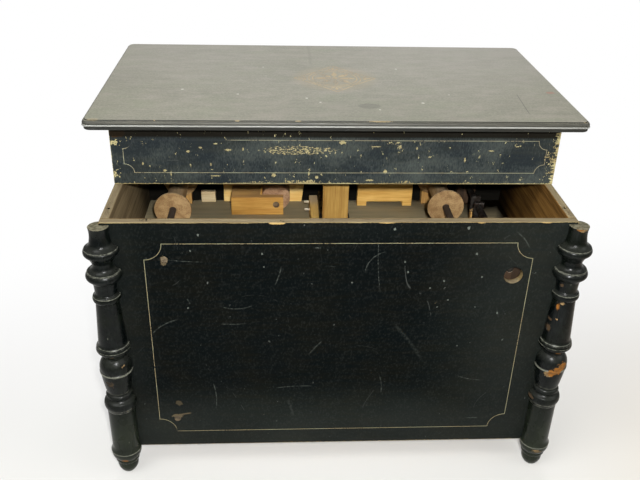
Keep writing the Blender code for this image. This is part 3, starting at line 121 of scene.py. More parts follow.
class Finish:
    """A material under way: node() adds any node, and paint() feeds the shader."""

    def __init__(self, name, fixed):
        self.material = bpy.data.materials.new(name)
        self.material.use_nodes = True
        self.tree = self.material.node_tree
        self.shader = self.tree.nodes["Principled BSDF"]
        for socket, value in fixed.items():
            self.shader.inputs[socket].default_value = value
        self.place = self.node("TexCoord", output="Object")
        self.x, self.y, self.z = (self.along(self.place, axis) for axis in "XYZ")
        self.upward = self.along(self.node("TexCoord", output="Normal"), "Z")

    def along(self, vector, axis):
        return self.node("SeparateXYZ", {"Vector": vector}, output=axis)

    def feed(self, socket, value):
        if isinstance(value, Value):
            self.tree.links.new(value.socket, socket)
        else:
            socket.default_value = value

    def node(self, kind, inputs=None, output=0, **settings):
        """Any shader node: its settings first, then its sockets' values."""
        made = self.tree.nodes.new("ShaderNode" + kind)
        for setting, value in settings.items():
            setattr(made, setting, value)
        for socket, value in (inputs or {}).items():
            self.feed(made.inputs[socket], value)
        return Value(self, made.outputs[output])

    def math(self, operation, *values):
        return self.node("Math", dict(enumerate(values)), operation=operation)

    def mix(self, mask, under, over):
        """The colour under, covered by the colour over where the mask is 1. A colour is a value,
        or (red, green, blue) as a screen shows it, 0 to 255."""
        under, over = (shade(*colour) if isinstance(colour, tuple) else colour for colour in (under, over))
        return self.node("Mix", {0: mask, 6: under, 7: over}, output=2, data_type='RGBA')

    def spread(self, size, stretch, shift):
        """Object coordinates in units of size metres, longer along a stretched axis."""
        scale = tuple(1 / (size * s) for s in stretch)
        return self.node("Mapping", {"Vector": self.place, "Scale": scale, "Location": shift})

    def cloud(self, size, stretch=(1, 1, 1), detail=3.0, seed=0.0, distort=0.0):
        """Cloudy noise about 0.5 whose blobs are size metres across, longer along a stretched axis."""
        spot = self.spread(size, stretch, (seed, 2 * seed, 3 * seed))
        return self.node("TexNoise", {"Vector": spot, "Scale": 1.0, "Detail": detail, "Distortion": distort})

    def dots(self, size, stretch=(1, 1, 1), seed=0.0):
        """Scattered cells of about size metres: how far each point is from its cell's dot, in
        cells, and a number from 0 to 1 that each cell has for itself."""
        spot = self.spread(size, stretch, (seed, seed, 2 * seed))
        away, own = (self.node("TexVoronoi", {"Vector": spot, "Scale": 1.0}, output=name)
                     for name in ("Distance", "Color"))
        return away, self.node("SeparateColor", {"Color": own}, output="Red")

    def blot(self, at, reach, ragged=0.0):
        """1 inside the ellipsoid about the point at that reaches so far along each axis."""
        away = self.node("VectorMath", {0: self.place, 1: at}, operation='SUBTRACT')
        away = self.node("VectorMath", {0: away, 1: reach}, operation='DIVIDE')
        away = self.node("VectorMath", {0: away}, output="Value", operation='LENGTH')
        if ragged:
            away = away + (self.cloud(min(reach) * 0.8, detail=3.0) - 0.5) * ragged
        return away.below(0.9, 0.3)

    def stroke(self, plane, start, end, sag, wide):
        """1 along a scratch on the plane y: an arc from start to end, (x, z) each, that leaves
        its chord by sag to the left."""
        (x0, z0), (x1, z1) = start, end
        chord = math.hypot(x1 - x0, z1 - z0)
        left = (-(z1 - z0) / chord, (x1 - x0) / chord)
        radius = (chord * chord / 4 + sag * sag) / (2 * abs(sag))
        back = sag - math.copysign(radius, sag)
        middle = ((x0 + x1) / 2, (z0 + z1) / 2)
        centre = (middle[0] + left[0] * back, plane, middle[1] + left[1] * back)
        heart = (middle[0] + left[0] * sag, plane, middle[1] + left[1] * sag)
        ring = self.node("VectorMath", {0: self.place, 1: centre}, output="Value", operation='DISTANCE')
        span = self.node("VectorMath", {0: self.place, 1: heart}, output="Value", operation='DISTANCE')
        return abs(ring - radius).below(wide / 2, wide) * span.below(chord * 0.48, chord * 0.2)

    def paint(self, colour, rough=None, relief=None, metal=None):
        """Feed the shader: colour, roughness, metal, and the height of the relief in metres."""
        self.feed(self.shader.inputs["Base Color"], colour)
        if rough is not None:
            self.feed(self.shader.inputs["Roughness"], rough)
        if metal is not None:
            self.feed(self.shader.inputs["Metallic"], metal)
        if relief is not None:
            bump = self.node("Bump", {"Height": relief, "Distance": 1.0, "Strength": 1.0})
            self.feed(self.shader.inputs["Normal"], bump)
        return self


def shade(red, green, blue):
    """A colour as a screen shows it, 0 to 255, as the linear values that a shader takes."""
    screen = np.array([red, green, blue]) / 255
    linear = np.where(screen <= 0.04045, screen / 12.92, ((screen + 0.055) / 1.055) ** 2.4)
    return (*linear.tolist(), 1.0)


def stage_floor(reach, white_from, white_to):
    """The sweep: a flat sheet whose height is 0 and which turns white for the eye towards the
    back, and everywhere further off; to the right of the case it is painted darker and warmer
    as a painted shadow."""
    corners = [(-reach, -reach, 0), (reach, -reach, 0), (reach, reach, 0), (-reach, reach, 0)]
    mesh = bpy.data.meshes.new("floor")
    mesh.from_pydata(corners, [], [(0, 1, 2, 3)])
    floor = bpy.data.objects.new("floor", mesh)
    bpy.context.scene.collection.objects.link(floor)
    paint = Finish("floor_paper", {"Roughness": 0.9, "Specular IOR Level": 0.1})
    # Painted shadow: the floor to the right of the case is tinted darker and warmer.
    painted_floor_shade = paint.x.above(0.36, 0.4) * paint.y.below(0.10, 0.5)
    paint.paint(paint.mix(painted_floor_shade, (221, 220, 215), (213, 202, 185)))
    along = paint.y - paint.x * 0.15
    white = along.above((white_from + white_to) / 2, white_to - white_from)
    away = paint.node("VectorMath", {0: paint.place}, output="Value", operation='LENGTH')
    white = white.most(away.above(1.25, 0.9))
    eye = paint.node("LightPath", output="Is Camera Ray")
    glow = paint.node("Emission", {"Color": (1, 1, 1, 1), "Strength": 1.0})
    shaded = Value(paint, paint.shader.outputs[0])
    both = paint.node("MixShader", {0: white * eye, 1: shaded, 2: glow})
    paint.tree.links.new(both.socket, paint.tree.nodes["Material Output"].inputs["Surface"])
    mesh.materials.append(paint.material)


def stage_lamp(name, place, aim, size, watts):
    """A square soft box at a place, turned to face its aim."""
    lamp = bpy.data.lights.new(name, 'AREA')
    lamp.size = size
    lamp.energy = watts
    box = bpy.data.objects.new(name, lamp)
    box.location = place
    box.rotation_euler = (Vector(aim) - Vector(place)).to_track_quat('-Z', 'Y').to_euler()
    bpy.context.scene.collection.objects.link(box)


def stage_world(ambient):
    """Even light from all round, which the eye and polished surfaces see as a white room."""
    world = bpy.data.worlds.new("studio")
    bpy.context.scene.world = world
    world.use_nodes = True
    tree = world.node_tree
    rays = tree.nodes.new("ShaderNodeLightPath")
    both = tree.nodes.new("ShaderNodeMix")
    both.inputs["A"].default_value = ambient
    both.inputs["B"].default_value = 1.0
    tree.links.new(rays.outputs["Is Camera Ray"], both.inputs["Factor"])
    background = tree.nodes["Background"]
    background.inputs["Color"].default_value = (1.0, 1.0, 1.0, 1.0)
    tree.links.new(both.outputs["Result"], background.inputs["Strength"])


bpy.context.scene.view_settings.view_transform = 'Standard'
stage_floor(reach=6.0, white_from=-0.38, white_to=0.36)
stage_world(ambient=0.24)
for name, place, aim, size, watts in (
        ("key_lamp", (-0.9, -0.9, 2.0), (0.0, 0.0, 0.2), 1.1, 19.0),
        ("fill_lamp", (1.5, -0.7, 1.3), (0.0, 0.0, 0.2), 1.0, 6.0),
        ("back_lamp", (0.1, 1.7, 1.5), (0.0, 0.1, 0.3), 1.6, 22.0),
        ("flash", (-0.02, -0.80, 0.678), (0.0, 0.0, 0.22), 0.03, 8.0)):
    stage_lamp(name, place, aim, size, watts)

camera = bpy.data.objects.new("camera", bpy.data.cameras.new("camera"))
camera.data.sensor_width = 36.0
camera.data.lens = 43.32
camera.data.clip_start = 0.01
camera.matrix_world = (Matrix.Translation((-0.05716, -0.7560, 0.6104))
                       @ Matrix.Rotation(math.radians(-3.539), 4, 'Z')
                       @ Matrix.Rotation(math.radians(60.89), 4, 'X')
                       @ Matrix.Rotation(math.radians(1.551), 4, 'Z'))
bpy.context.scene.collection.objects.link(camera)
bpy.context.scene.camera = camera


# Case boards
# Front, back and sides of 8 mm wood, butted and glued, lacquered black outside but bare
# inside and on the top edges where the lid rests. The floor board is bare all over.

BARE_LIGHT = (188, 160, 112)
BARE_DARK = (132, 104, 66)
LACQUER = (4, 8, 9)
LACQUER_BROWN = (11, 12, 9)
FLECK = (128, 132, 126)
DUST = (134, 126, 110)
ARRIS = 0.0007


def fix(name, mesh, finish, node=None, body=None, hinge=None):
    """Put a finished mesh on its body, in the place of the node that it stands for. A hinge is
    (body, start, end): a piece with one is baked where it stands and put on no body, and the
    hinge's body, start and end are not used."""
    made = bpy.data.objects.new(name, mesh)
    bpy.context.scene.collection.objects.link(made)
    mesh.materials.clear()
    mesh.materials.append(finish.material)
    if hinge:
        body, start, end = hinge
        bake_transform(made)
    else:
        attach(made, body or frame["nodes"][node]["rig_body"])
    if node:
        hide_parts(node)
    return made


def planed(name, node, finish, ease=ARRIS, steps=3):
    """A board: the node's own shape, its triangles made whole faces again, its arrises eased."""
    bm = bmesh.new()
    bm.from_mesh(frame["nodes"][node].data)
    bmesh.ops.remove_doubles(bm, verts=bm.verts, dist=1e-6)
    bmesh.ops.dissolve_limit(bm, angle_limit=math.radians(1), verts=bm.verts, edges=bm.edges)
    mesh = bpy.data.meshes.new(name)
    bm.to_mesh(mesh)
    bm.free()
    mesh.shade_smooth()
    made = fix(name, mesh, finish, node)
    bevel = made.modifiers.new("eased arrises", 'BEVEL')
    bevel.width = ease
    bevel.segments = steps
    bevel.limit_method = 'ANGLE'
    bevel.angle_limit = math.radians(30)
    bevel.harden_normals = True
    return made


def drawn_out(along, by):
    """The stretch of a pattern that is drawn out along one axis."""
    return tuple(by if axis == along else 1.0 for axis in "xyz")


def grain(finish, along, light, dark, seed=0.0):
    """Wood colour along one axis: broad streaks of light and dark, and fine pores, with the
    height of the pores."""
    broad = finish.cloud(0.007, drawn_out(along, 22.0), detail=2.0, seed=seed, distort=0.3)
    fine = finish.cloud(0.0011, drawn_out(along, 22.0), detail=2.0, seed=seed + 5)
    streak = (broad * 0.65 + fine * 0.45).above(0.55, 0.34)
    return finish.mix(streak, dark, light), fine


def lacquer(name, corners, along='x', coat=(LACQUER, LACQUER_BROWN), under=(BARE_LIGHT, BARE_DARK),
            gloss=0.03, field=0.0, edges=0.5, rub=0.0005, scuffs=(), marks=None, bare=None, inside_wood_and_shade=None,
            dusted=0.0, seed=0.0):
    """Black lacquer on a board between two corners, worn through to the wood under it: field and
    edges say how many chips there are, scuffs are (x, z, across, tall, strength) patches of
    them, marks adds dirt and scratches and some boards' painted light and shade, dusted is the
    least roughness of what faces up, and bare gives the faces that never had any lacquer and
    those inside, which take the two wood colours of inside_wood_and_shade, with painted shade
    darker towards the back and the top."""
    low, high = corners
    paint = Finish(name, {"Specular IOR Level": gloss})
    dx, dy, dz = ((value - least).least(most - value)
                  for value, least, most in zip((paint.x, paint.y, paint.z), low, high))
    arris = dx.least(dy).most(dx.most(dy).least(dz))
    wood, pores = grain(paint, along, *under, seed)
    lying = paint.upward.above(0.7, 0.4)
    wood = paint.mix(lying * 0.4, wood, DUST)
    fine = paint.cloud(0.0016, (1, 1, 1.4), detail=4.0, seed=seed + 1)
    cluster = paint.cloud(0.016, detail=2.0, seed=seed + 2)
    close = arris.below(0.004, 0.008) * 0.2 * edges
    for x, z, across, tall, strength in scuffs:
        right, up = (paint.x - x) / across, (paint.z - z) / tall
        close = close + (right * right + up * up).below(0.6, 0.9) * strength
    chipped = (fine * 0.62 + cluster * 0.5 + close + field * 0.1).above(0.79, 0.03)
    rubbed = (arris + (fine - 0.5) * 0.002).below(rub, 0.0003)
    worn = chipped.most(rubbed)
    slow = paint.cloud(0.05, detail=2.0, seed=seed + 3)
    streak = paint.cloud(0.003, drawn_out(along, 10.0), detail=2.0, seed=seed + 4)
    black = paint.mix((slow * 0.6 + streak * 0.5).above(0.58, 0.3), *coat)
    away, own = paint.dots(0.011, (1.0, 1.0, 1.3), seed)
    speck = (away + (fine - 0.5) * 0.5).below(0.02, 0.06) * own.above(0.5, 0.4) * 0.4
    wave = paint.cloud(0.09, detail=0.0, seed=seed + 6, distort=0.6)
    hair = abs(wave - 0.5).below(0.0010, 0.0012) * cluster.above(0.58, 0.04)
    black = paint.mix(speck.most(hair * 0.16).most((fine - 0.5) * 0.15), black, FLECK)
    if marks:
        black = marks(paint, black)
    if bare:
        never, within = bare(paint, fine)
        worn = worn.most(never).most(within)
    if inside_wood_and_shade:
        inside_with_painted_shade = grain(paint, along, *inside_wood_and_shade, seed + 3)[0]
        # Painted shade: the inside wood darkens towards the back and the top, where the lid's shadow falls.
        inside_with_painted_shade = paint.mix((paint.y + paint.z * 0.35).above(0.095, 0.05) * 0.75, inside_with_painted_shade, LACQUER_BROWN)
        wood = paint.mix(within, wood, inside_with_painted_shade)
    rough = (0.4 + slow * 0.16 + speck * 0.2).most(lying * dusted).most(worn * 0.78)
    relief = (pores - 0.5) * 0.00006 - worn * 0.00012 + (streak - 0.5) * 0.00002
    return paint.paint(paint.mix(worn, black, wood), rough, relief)


def bare_case(axis, place, inward):
    """The faces of a case board that were never lacquered: its top edge and, through the front,
    the bore for the crank; and the face inside, at its place on its axis."""
    def mask(paint, fine):
        wavy = paint.cloud(0.02, detail=2.0, seed=9.0)
        top = (paint.z + (fine - 0.5) * 0.0012 + (wavy - 0.5) * 0.0022).above(case_high.z - 0.0006, 0.0003)
        inside = (getattr(paint, axis) * inward).above(place * inward - 0.0009, 0.0004)
        if (axis, inward) != ("y", 1):
            return top, inside
        across, up = paint.x - crank_middle.x, paint.z - crank_middle.z
        bore = (across * across + up * up).below(CRANK_HOLE * CRANK_HOLE, 2e-6)
        return top.most(bore * paint.y.above(case_low.y + 0.0007, 0.0003)), inside
    return mask


def handled(paint, black):
    """A thin dusty film, thicker low down, and long faint rubs level with the floor."""
    film = paint.cloud(0.06, detail=4.0, seed=61.0)
    low = paint.z.below(0.12, 0.14) * 0.15
    black = paint.mix((film - 0.32 + low).most(0.0) * 0.14, black, (112, 116, 106))
    rub = paint.cloud(0.0028, (16, 16, 1), detail=5.0, seed=62.0)
    return paint.mix((rub - 0.55).most(0.0) * film * 0.7, black, (120, 124, 116))


# Scratches on the front: from (x, z) to (x, z), how far they bow to the left, and their width.
# Specks: (x, z) and how far they reach. All in millimetres.
SCRATCHES = (
    (40.2, 260.3, 23, 238.6, -4.5, 0.6), (53.9, 179.9, 82.7, 139.7, 1.2, 2.6),
    (-27.5, 144.9, -15.1, 160.5, 0.4, 1), (-122.2, 108.9, -121, 77.7, 1.6, 0.6),
    (-60, 102.7, -24.8, 104.7, 1, 0.6), (-47.9, 86.9, -42.7, 65.4, 0.6, 2.4),
    (123.6, 115.1, 146.8, 109.6, -1, 0.6), (43.8, 116.4, 46.6, 95.7, 0.9, 0.8),
    (137.3, 59.1, 150, 59.5, 0.2, 0.7), (151.9, 196.4, 154.7, 187.1, 0.2, 1.2),
    (-54.7, 243.7, -60.2, 225.6, 0.4, 0.8), (-110.3, 201.2, -81.2, 202.6, -3, 0.7),
    (-111, 181.7, -89.2, 181.9, -0.6, 0.6), (-176.8, 171.9, -154.1, 186.8, 2, 0.9),
    (159.3, 280.6, 173.4, 264.4, 1.4, 1), (-156.9, 252.7, -126.4, 250.4, -0.5, 0.4),
    (33.7, 272.8, 37.9, 219, -1.2, 0.4), (-142.3, 210.4, -139.9, 204.8, 0.2, 1))
SPECKS = (
    (-128.6, 278.4, 1.6), (-136.6, 262, 1.3), (-72, 258.6, 1.4), (-70.4, 244.8, 1.1), (114.6, 284.9, 2.4),
    (59.2, 249.5, 1.4), (62.9, 238.6, 1.5), (125.3, 257.7, 1.8), (133.2, 232.7, 1.4), (97.6, 228.5, 1.5),
    (85.1, 220.9, 1.3), (103.7, 207.2, 1.2), (93.9, 199.3, 1), (130.7, 198.9, 1), (-142, 200.3, 1.3),
    (47.5, 284, 1.8), (153.1, 191.8, 1.4), (11.2, 227.5, 1.2))


def front_marks(paint, black):
    """Scratches and flecks that years of handling left on the front, and fresh chips along its
    top edge; a thin pale film, partly dust and partly painted reflection of the floor, lightens
    it low down, at the right, along the top and at the far left."""
    plane = case_low.y
    pale = paint.blot((-0.0213, plane, 0.2647), (0.0030, 0.002, 0.0006))
    film = paint.cloud(0.05, (1.4, 1, 1), detail=3.0, seed=51.0)
    # Partly dust and partly painted reflection of the pale floor: lighter low down, at the right, along the
    # top and at the far left.
    dusty = paint.z.below(0.085, 0.07).most(paint.x.above(0.12, 0.12) * 0.8)
    dusty = dusty.most(paint.z.above(0.272, 0.03) * 0.2).most(paint.x.below(-0.185, 0.04) * 0.45)
    black = paint.mix(((film * 0.9 + 0.55) * dusty).least(1.2) * 0.062, black, (118, 124, 114))
    for x0, z0, x1, z1, sag, wide in np.array(SCRATCHES) / 1000:
        pale = pale.most(paint.stroke(plane, (x0, z0), (x1, z1), sag, wide) * min(0.62, 0.00034 / wide))
    pale = pale * ((paint.cloud(0.0026, detail=4.0, seed=52.0) - 0.36) * 4.0).most(0.15).least(1.0)
    for x, z, reach in np.array(SPECKS) / 1000:
        pale = pale.most(paint.blot((x, plane, z), (reach * 0.6, 0.003, reach * 0.8), 2.0) * 0.8)
    black = paint.mix(pale * 0.7, black, (116, 122, 114))
    rubbed = paint.blot((-0.1600, plane, 0.0680), (0.0062, 0.003, 0.0026), 1.2)
    rubbed = rubbed.most(paint.stroke(plane, (-0.1600, 0.0690), (-0.1466, 0.0715), 0.0002, 0.0014))
    rubbed = rubbed.most(paint.blot((-0.1578, plane, 0.0850), (0.0036, 0.003, 0.0034), 1.6) * 0.5)
    upper_low, upper_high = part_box("front_plug_upper")
    plug_at = ((upper_low.x + upper_high.x) / 2 - 0.0006, plane, (upper_low.z + upper_high.z) / 2 - 0.0012)
    rubbed = rubbed.most(paint.blot(plug_at, (0.0034, 0.003, 0.0052), 1.6) * 0.85)
    black = paint.mix(rubbed * 0.6, black, (112, 98, 74))
    fresh = paint.blot((-0.0584, plane, 0.2900), (0.0080, 0.004, 0.0013), 0.9)
    for x, reach in ((0.0400, 0.0080), (0.1258, 0.0040), (0.1854, 0.0050)):
        fresh = fresh.most(paint.blot((x, plane, 0.2904), (reach, 0.004, 0.0008), 0.9))
    return paint.mix(fresh * 0.85, black, (192, 160, 102))


CRANK_HOLE = 0.0094
case_low, case_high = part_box("case_front")
crank_low, crank_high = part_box("crank_pinion")
crank_middle = (crank_low + crank_high) / 2
# Inside colours of each board's inner face; the back's is painted near black as painted shade, for the lid's
# shadow over it.
for node, axis, inward, marks, light, dark in (
        ("case_front", "y", 1, front_marks, (120, 98, 64), (94, 74, 46)),
        ("case_back", "y", -1, handled, (40, 34, 29), (22, 19, 17)),
        ("case_left_side", "x", 1, handled, (128, 112, 84), (98, 84, 62)),
        ("case_right_side", "x", -1, handled, (140, 104, 54), (92, 66, 34))):
    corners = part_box(node)
    within = getattr(corners[(inward + 1) // 2], axis)
    coat = lacquer(node + "_lacquer", corners, "x" if axis == "y" else "y", field=-0.4, edges=0.35,
                   under=((148, 132, 94), (108, 90, 58)), inside_wood_and_shade=(light, dark), marks=marks,
                   bare=bare_case(axis, within, inward), seed=len(node) * 1.7)
    planed(node + "_lacquered", node, coat)


def raw_wood(name, along, light, dark, dust=0.3, seed=0.0, dust_from=None, axle=None, grey=DUST):
    """Bare wood with grey dust where it faces up, or only behind the plane y dust_from; axle is
    (x, z, radius) of an iron axle that runs through it."""
    wood = Finish(name, {"Specular IOR Level": 0.3})
    colour, pores = grain(wood, along, light, dark, seed)
    blotch = wood.cloud(0.02, detail=3.0, seed=seed + 8)
    colour = wood.mix(blotch.above(0.55, 0.25) * 0.35, colour, dark)
    lying = (wood.upward.above(0.7, 0.4) * (blotch + 0.35) * dust).least(0.95)
    if dust_from is not None:
        lying = lying * wood.y.above(dust_from, 0.02)
    colour = wood.mix(lying, colour, grey)
    metal = None
    if axle is not None:
        across, up = wood.x - axle[0], wood.z - axle[1]
        metal = (across * across + up * up).below(axle[2] * axle[2], 2e-7)
        colour = wood.mix(metal, colour, wood.mix(blotch, (92, 84, 76), (66, 50, 38)))
        metal = metal * 0.8
    return wood.paint(colour, 0.72 + lying * 0.1, (pores - 0.5) * 0.00008, metal)


planed("case_floor_board", "case_floor", raw_wood("floor_board_wood", "x", BARE_LIGHT, BARE_DARK))


# Gold lines
# A hand-drawn line of dull gold, under a millimetre wide, frames the front and the lid's
# front rail. Each corner turns in on a quarter round, and the paint is rubbed through in places.

GOLD = (134, 132, 104)
LINE_WIDTH = 0.00052
LINE_PROUD = 0.00005


def skin(name, grid, loop=False, angle=35.0):
    """A closed mesh over an array of rings of points: every ring closes on itself and joins the
    next, and the ends are closed with a face, or join each other where loop is set."""
    rings, points = grid.shape[:2]
    index = np.arange(rings * points).reshape(rings, points)
    after = np.roll(index, -1, axis=0) if loop else index[1:]
    before = index if loop else index[:-1]
    quads = np.stack([before, np.roll(before, -1, axis=1), np.roll(after, -1, axis=1), after], axis=-1)
    faces = quads.reshape(-1, 4).tolist()
    if not loop:
        faces += [index[0][::-1].tolist(), index[-1].tolist()]
    mesh = bpy.data.meshes.new(name)
    mesh.from_pydata(grid.reshape(-1, 3).tolist(), [], faces)
    bm = bmesh.new()
    bm.from_mesh(mesh)
    bmesh.ops.recalc_face_normals(bm, faces=bm.faces)
    bm.to_mesh(mesh)
    bm.free()
    mesh.shade_smooth()
    mesh.set_sharp_from_angle(angle=math.radians(angle))
    return mesh


def notched_frame(half_width, half_height, notch, steps=14):
    """A rectangle round the origin, each corner cut by a quarter circle about the corner itself."""
    turns = np.linspace(0, math.pi / 2, steps)
    path = []
    for sx, sy, flip in ((1, 1, False), (-1, 1, True), (-1, -1, False), (1, -1, True)):
        angles = turns[::-1] if flip else turns
        corner = np.stack([sx * (half_width - notch * np.sin(angles)),
                           sy * (half_height - notch * np.cos(angles))], axis=1)
        path.append(corner)
    return np.concatenate(path)


def band(path, width, under, proud):
    """A flat strip along a closed path in its plane: at each point half its width goes to either
    side of the path, along the bisector of the two stretches that meet there. Depth is the third
    coordinate, from under the ground to proud of it."""
    ahead = np.roll(path, -1, axis=0) - path
    ahead = ahead / np.linalg.norm(ahead, axis=1, keepdims=True)
    bisector = ahead + np.roll(ahead, 1, axis=0)
    bisector = bisector / np.linalg.norm(bisector, axis=1, keepdims=True)
    normal = np.stack([-bisector[:, 1], bisector[:, 0]], axis=1)
    mitre = 1 / np.clip(np.sum(bisector * ahead, axis=1), 0.6, 1.0)
    reach = (width / 2 * mitre)[:, None] * normal
    sides = [(path - reach, -under), (path + reach, -under), (path + reach, proud), (path - reach, proud)]
    return np.stack([np.concatenate([flat, np.full((len(path), 1), depth)], axis=1)
                     for flat, depth in sides], axis=1)


def gold_frame(name, body, finish, plane, middle, **shape):
    """A gold line on the upright face at the plane y: a notched frame about the height middle."""
    line = band(notched_frame(**shape), LINE_WIDTH, LINE_PROUD, LINE_PROUD)
    line = np.stack([line[..., 0], plane - line[..., 2], line[..., 1] + middle], axis=-1)
    fix(name, skin(name, line, loop=True), finish, body=body)


def gilding(name, gone_over, gold=GOLD, ground=LACQUER, lost=None):
    """Dull gold paint, rubbed away to the ground below in short gaps, and where lost says."""
    paint = Finish(name, {"Specular IOR Level": 0.3})
    fine = paint.cloud(0.0014, detail=3.0, seed=3.0)
    broad = paint.cloud(0.018, detail=2.0, seed=4.0)
    gone = (fine * 0.6 + broad * 0.5).above(gone_over, 0.1)
    if lost is not None:
        gone = gone.most(lost(paint))
    tone = paint.mix(broad.above(0.5, 0.3) * 0.45, gold, BARE_DARK)
    return paint.paint(paint.mix(gone, tone, ground), 0.55)


wide = case_high.x
gold_frame("front_gold_line", "root", gilding("front_gold", 0.68), plane=case_low.y, middle=0.15845,
           half_width=wide - 0.0365, half_height=0.11085, notch=0.0165)


# Corner columns and rear feet
# Turned hardwood columns, three-quarter round, glued about the front corners and finished in
# the same black lacquer but glossier; their arrises are rubbed pale. The rear feet match.

AROUND = 96
foot_top = case_low.z
case_top = case_high.z
RING_LIGHT = (122, 123, 110)
ORANGE, TAN, BROWN, SOOTY = (138, 88, 32), (146, 120, 82), (70, 56, 40), (38, 33, 24)
# Heights at which an arris is rubbed to a pale line.
RING_LINES = (0.2672, 0.2436, 0.2180, 0.1633, 0.1594, 0.0876)
# The turned profile in metres: each arc's radius and place at its start, then at its end, and its
# bulge. The crown's places are down from the case's top, the others up from its underside.
CROWN = ((0.0092, 0.0025, 0.0094, 0.0160, -0.0007), (0.0094, 0.0160, 0.0146, 0.0230, -0.0014),
         (0.0149, 0.0233, 0.0150, 0.0240, 0.0), (0.0153, 0.0243, 0.0140, 0.0306, 0.0014),
         (0.0133, 0.0309, 0.0100, 0.0370, -0.0002), (0.0097, 0.0373, 0.0095, 0.0404, -0.0001),
         (0.0095, 0.0406, 0.0147, 0.0466, -0.0014), (0.0149, 0.0469, 0.0150, 0.0476, 0.0),
         (0.0152, 0.0479, 0.0139, 0.0556, 0.0019), (0.0134, 0.0559, 0.0115, 0.0584, 0.0002),
         (0.0110, 0.0587, 0.0102, 0.0702, -0.0002), (0.0105, 0.0706, 0.0124, 0.0728, -0.0003),
         (0.0125, 0.0732, 0.0114, 0.0792, 0.0010), (0.0107, 0.0796, 0.0109, 0.0830, 0.0))
BASE = ((0.0134, 0.1384, 0.0154, 0.1336, -0.0006), (0.0156, 0.1330, 0.0155, 0.1325, 0.0),
        (0.0155, 0.1321, 0.0146, 0.1262, 0.0012), (0.0140, 0.1259, 0.0102, 0.1206, 0.0002),
        (0.0098, 0.1203, 0.0099, 0.1192, 0.0), (0.0104, 0.1189, 0.0152, 0.1046, 0.0020),
        (0.0158, 0.1038, 0.0157, 0.1022, 0.0), (0.0151, 0.1016, 0.0118, 0.0784, 0.0003),
        (0.0110, 0.0776, 0.0110, 0.0766, 0.0), (0.0118, 0.0762, 0.0116, 0.0708, 0.0014),
        (0.0115, 0.0704, 0.0145, 0.0674, -0.0004), (0.0149, 0.0670, 0.0151, 0.0592, 0.0008),
        (0.0145, 0.0588, 0.0139, 0.0556, 0.0), (0.0135, 0.0552, 0.0134, 0.0080, 0.0))
FOOT = ((0.0134, 0.0076, 0.0153, 0.0012, -0.0005), (0.0150, 0.0, 0.0122, -0.0092, 0.0009),
        (0.0116, -0.0096, 0.0107, -0.0148, 0.0009), (0.0101, -0.0153, 0.0060, -0.0290, 0.0018))


def turning(arcs, height):
    """Points down a turned profile, (radius, height) each: every arc runs from its first radius
    and place to its second, bulging by a parabola of the given height at right angles."""
    points = []
    for r0, at0, r1, at1, bulge in arcs:
        share = np.linspace(0, 1, 9 if bulge else 2)
        start, end = np.array([r0, height(at0)]), np.array([r1, height(at1)])
        chord = end - start
        outward = np.array([-chord[1], chord[0]]) / np.linalg.norm(chord)
        points.append(start + share[:, None] * chord + (4 * bulge * share * (1 - share))[:, None] * outward)
    return np.concatenate(points)


def turned(name, profile, x, y):
    """A lathe-turned solid: the profile's (radius, height) points carried round an upright axis
    at x and y, with how sharply each ring stands out kept as the attribute worn."""
    around = np.linspace(0, 2 * math.pi, AROUND, endpoint=False)
    radius, height = profile[:, 0, None], profile[:, 1, None] + 0 * around
    mesh = skin(name, np.stack([radius * np.cos(around) + x, radius * np.sin(around) + y, height], axis=-1))
    step = np.diff(profile, axis=0)
    turn = np.arctan2(step[:, 1], step[:, 0])
    bend = np.zeros(len(profile))
    bend[1:-1] = (turn[:-1] - turn[1:] + math.pi) % (2 * math.pi) - math.pi
    sharp = np.clip((bend - 0.35) * 2.2, 0, 1)
    worn = mesh.attributes.new("worn", 'FLOAT', 'POINT')
    worn.data.foreach_set("value", np.repeat(sharp, AROUND).astype(np.float32))
    return mesh


# Chips in millimetres: (x, y, z), how far they reach across and upright; and their colour.
CHIPS = {
    "left": (
        (-215.1, -167.1, 21.4, 3.6, 2.6, ORANGE), (-205, -164.3, 142.6, 0.9, 0.9, TAN),
        (-206.4, -165, 142, 0.7, 0.8, TAN), (-214.2, -166.1, 155.2, 2.4, 1.4, BROWN),
        (-219, -165.5, 122, 4, 4, SOOTY)),
    "right": (
        (209.8, -167.2, 129, 4.6, 4, TAN), (211.6, -167.4, 131, 4.5, 4.4, ORANGE),
        (216.5, -168, 134, 5, 5.8, ORANGE), (221.5, -165.5, 137.5, 4.4, 5.4, ORANGE),
        (207.2, -161.6, 205.3, 1.3, 3.6, ORANGE), (210.3, -163.6, 209.8, 1.8, 1.4, TAN),
        (203.6, -157, 188.8, 1.2, 1.4, BROWN), (208, -162.9, 191.9, 1, 1, TAN),
        (203.5, -157.3, 179.4, 1.4, 4, BROWN), (215.1, -165.7, 154.4, 2.6, 1.3, ORANGE),
        (200.3, -156.2, 93, 2.4, 2.2, BROWN), (215, -167.4, 25.5, 5, 0.8, TAN),
        (213, -167.4, 27.5, 4.2, 0.8, TAN), (207.2, -160.2, 228.7, 1.4, 2, BROWN),
        (216, -162.3, 288, 4.4, 2.6, TAN), (213.5, -162.5, 288.5, 3.4, 2, ORANGE))}


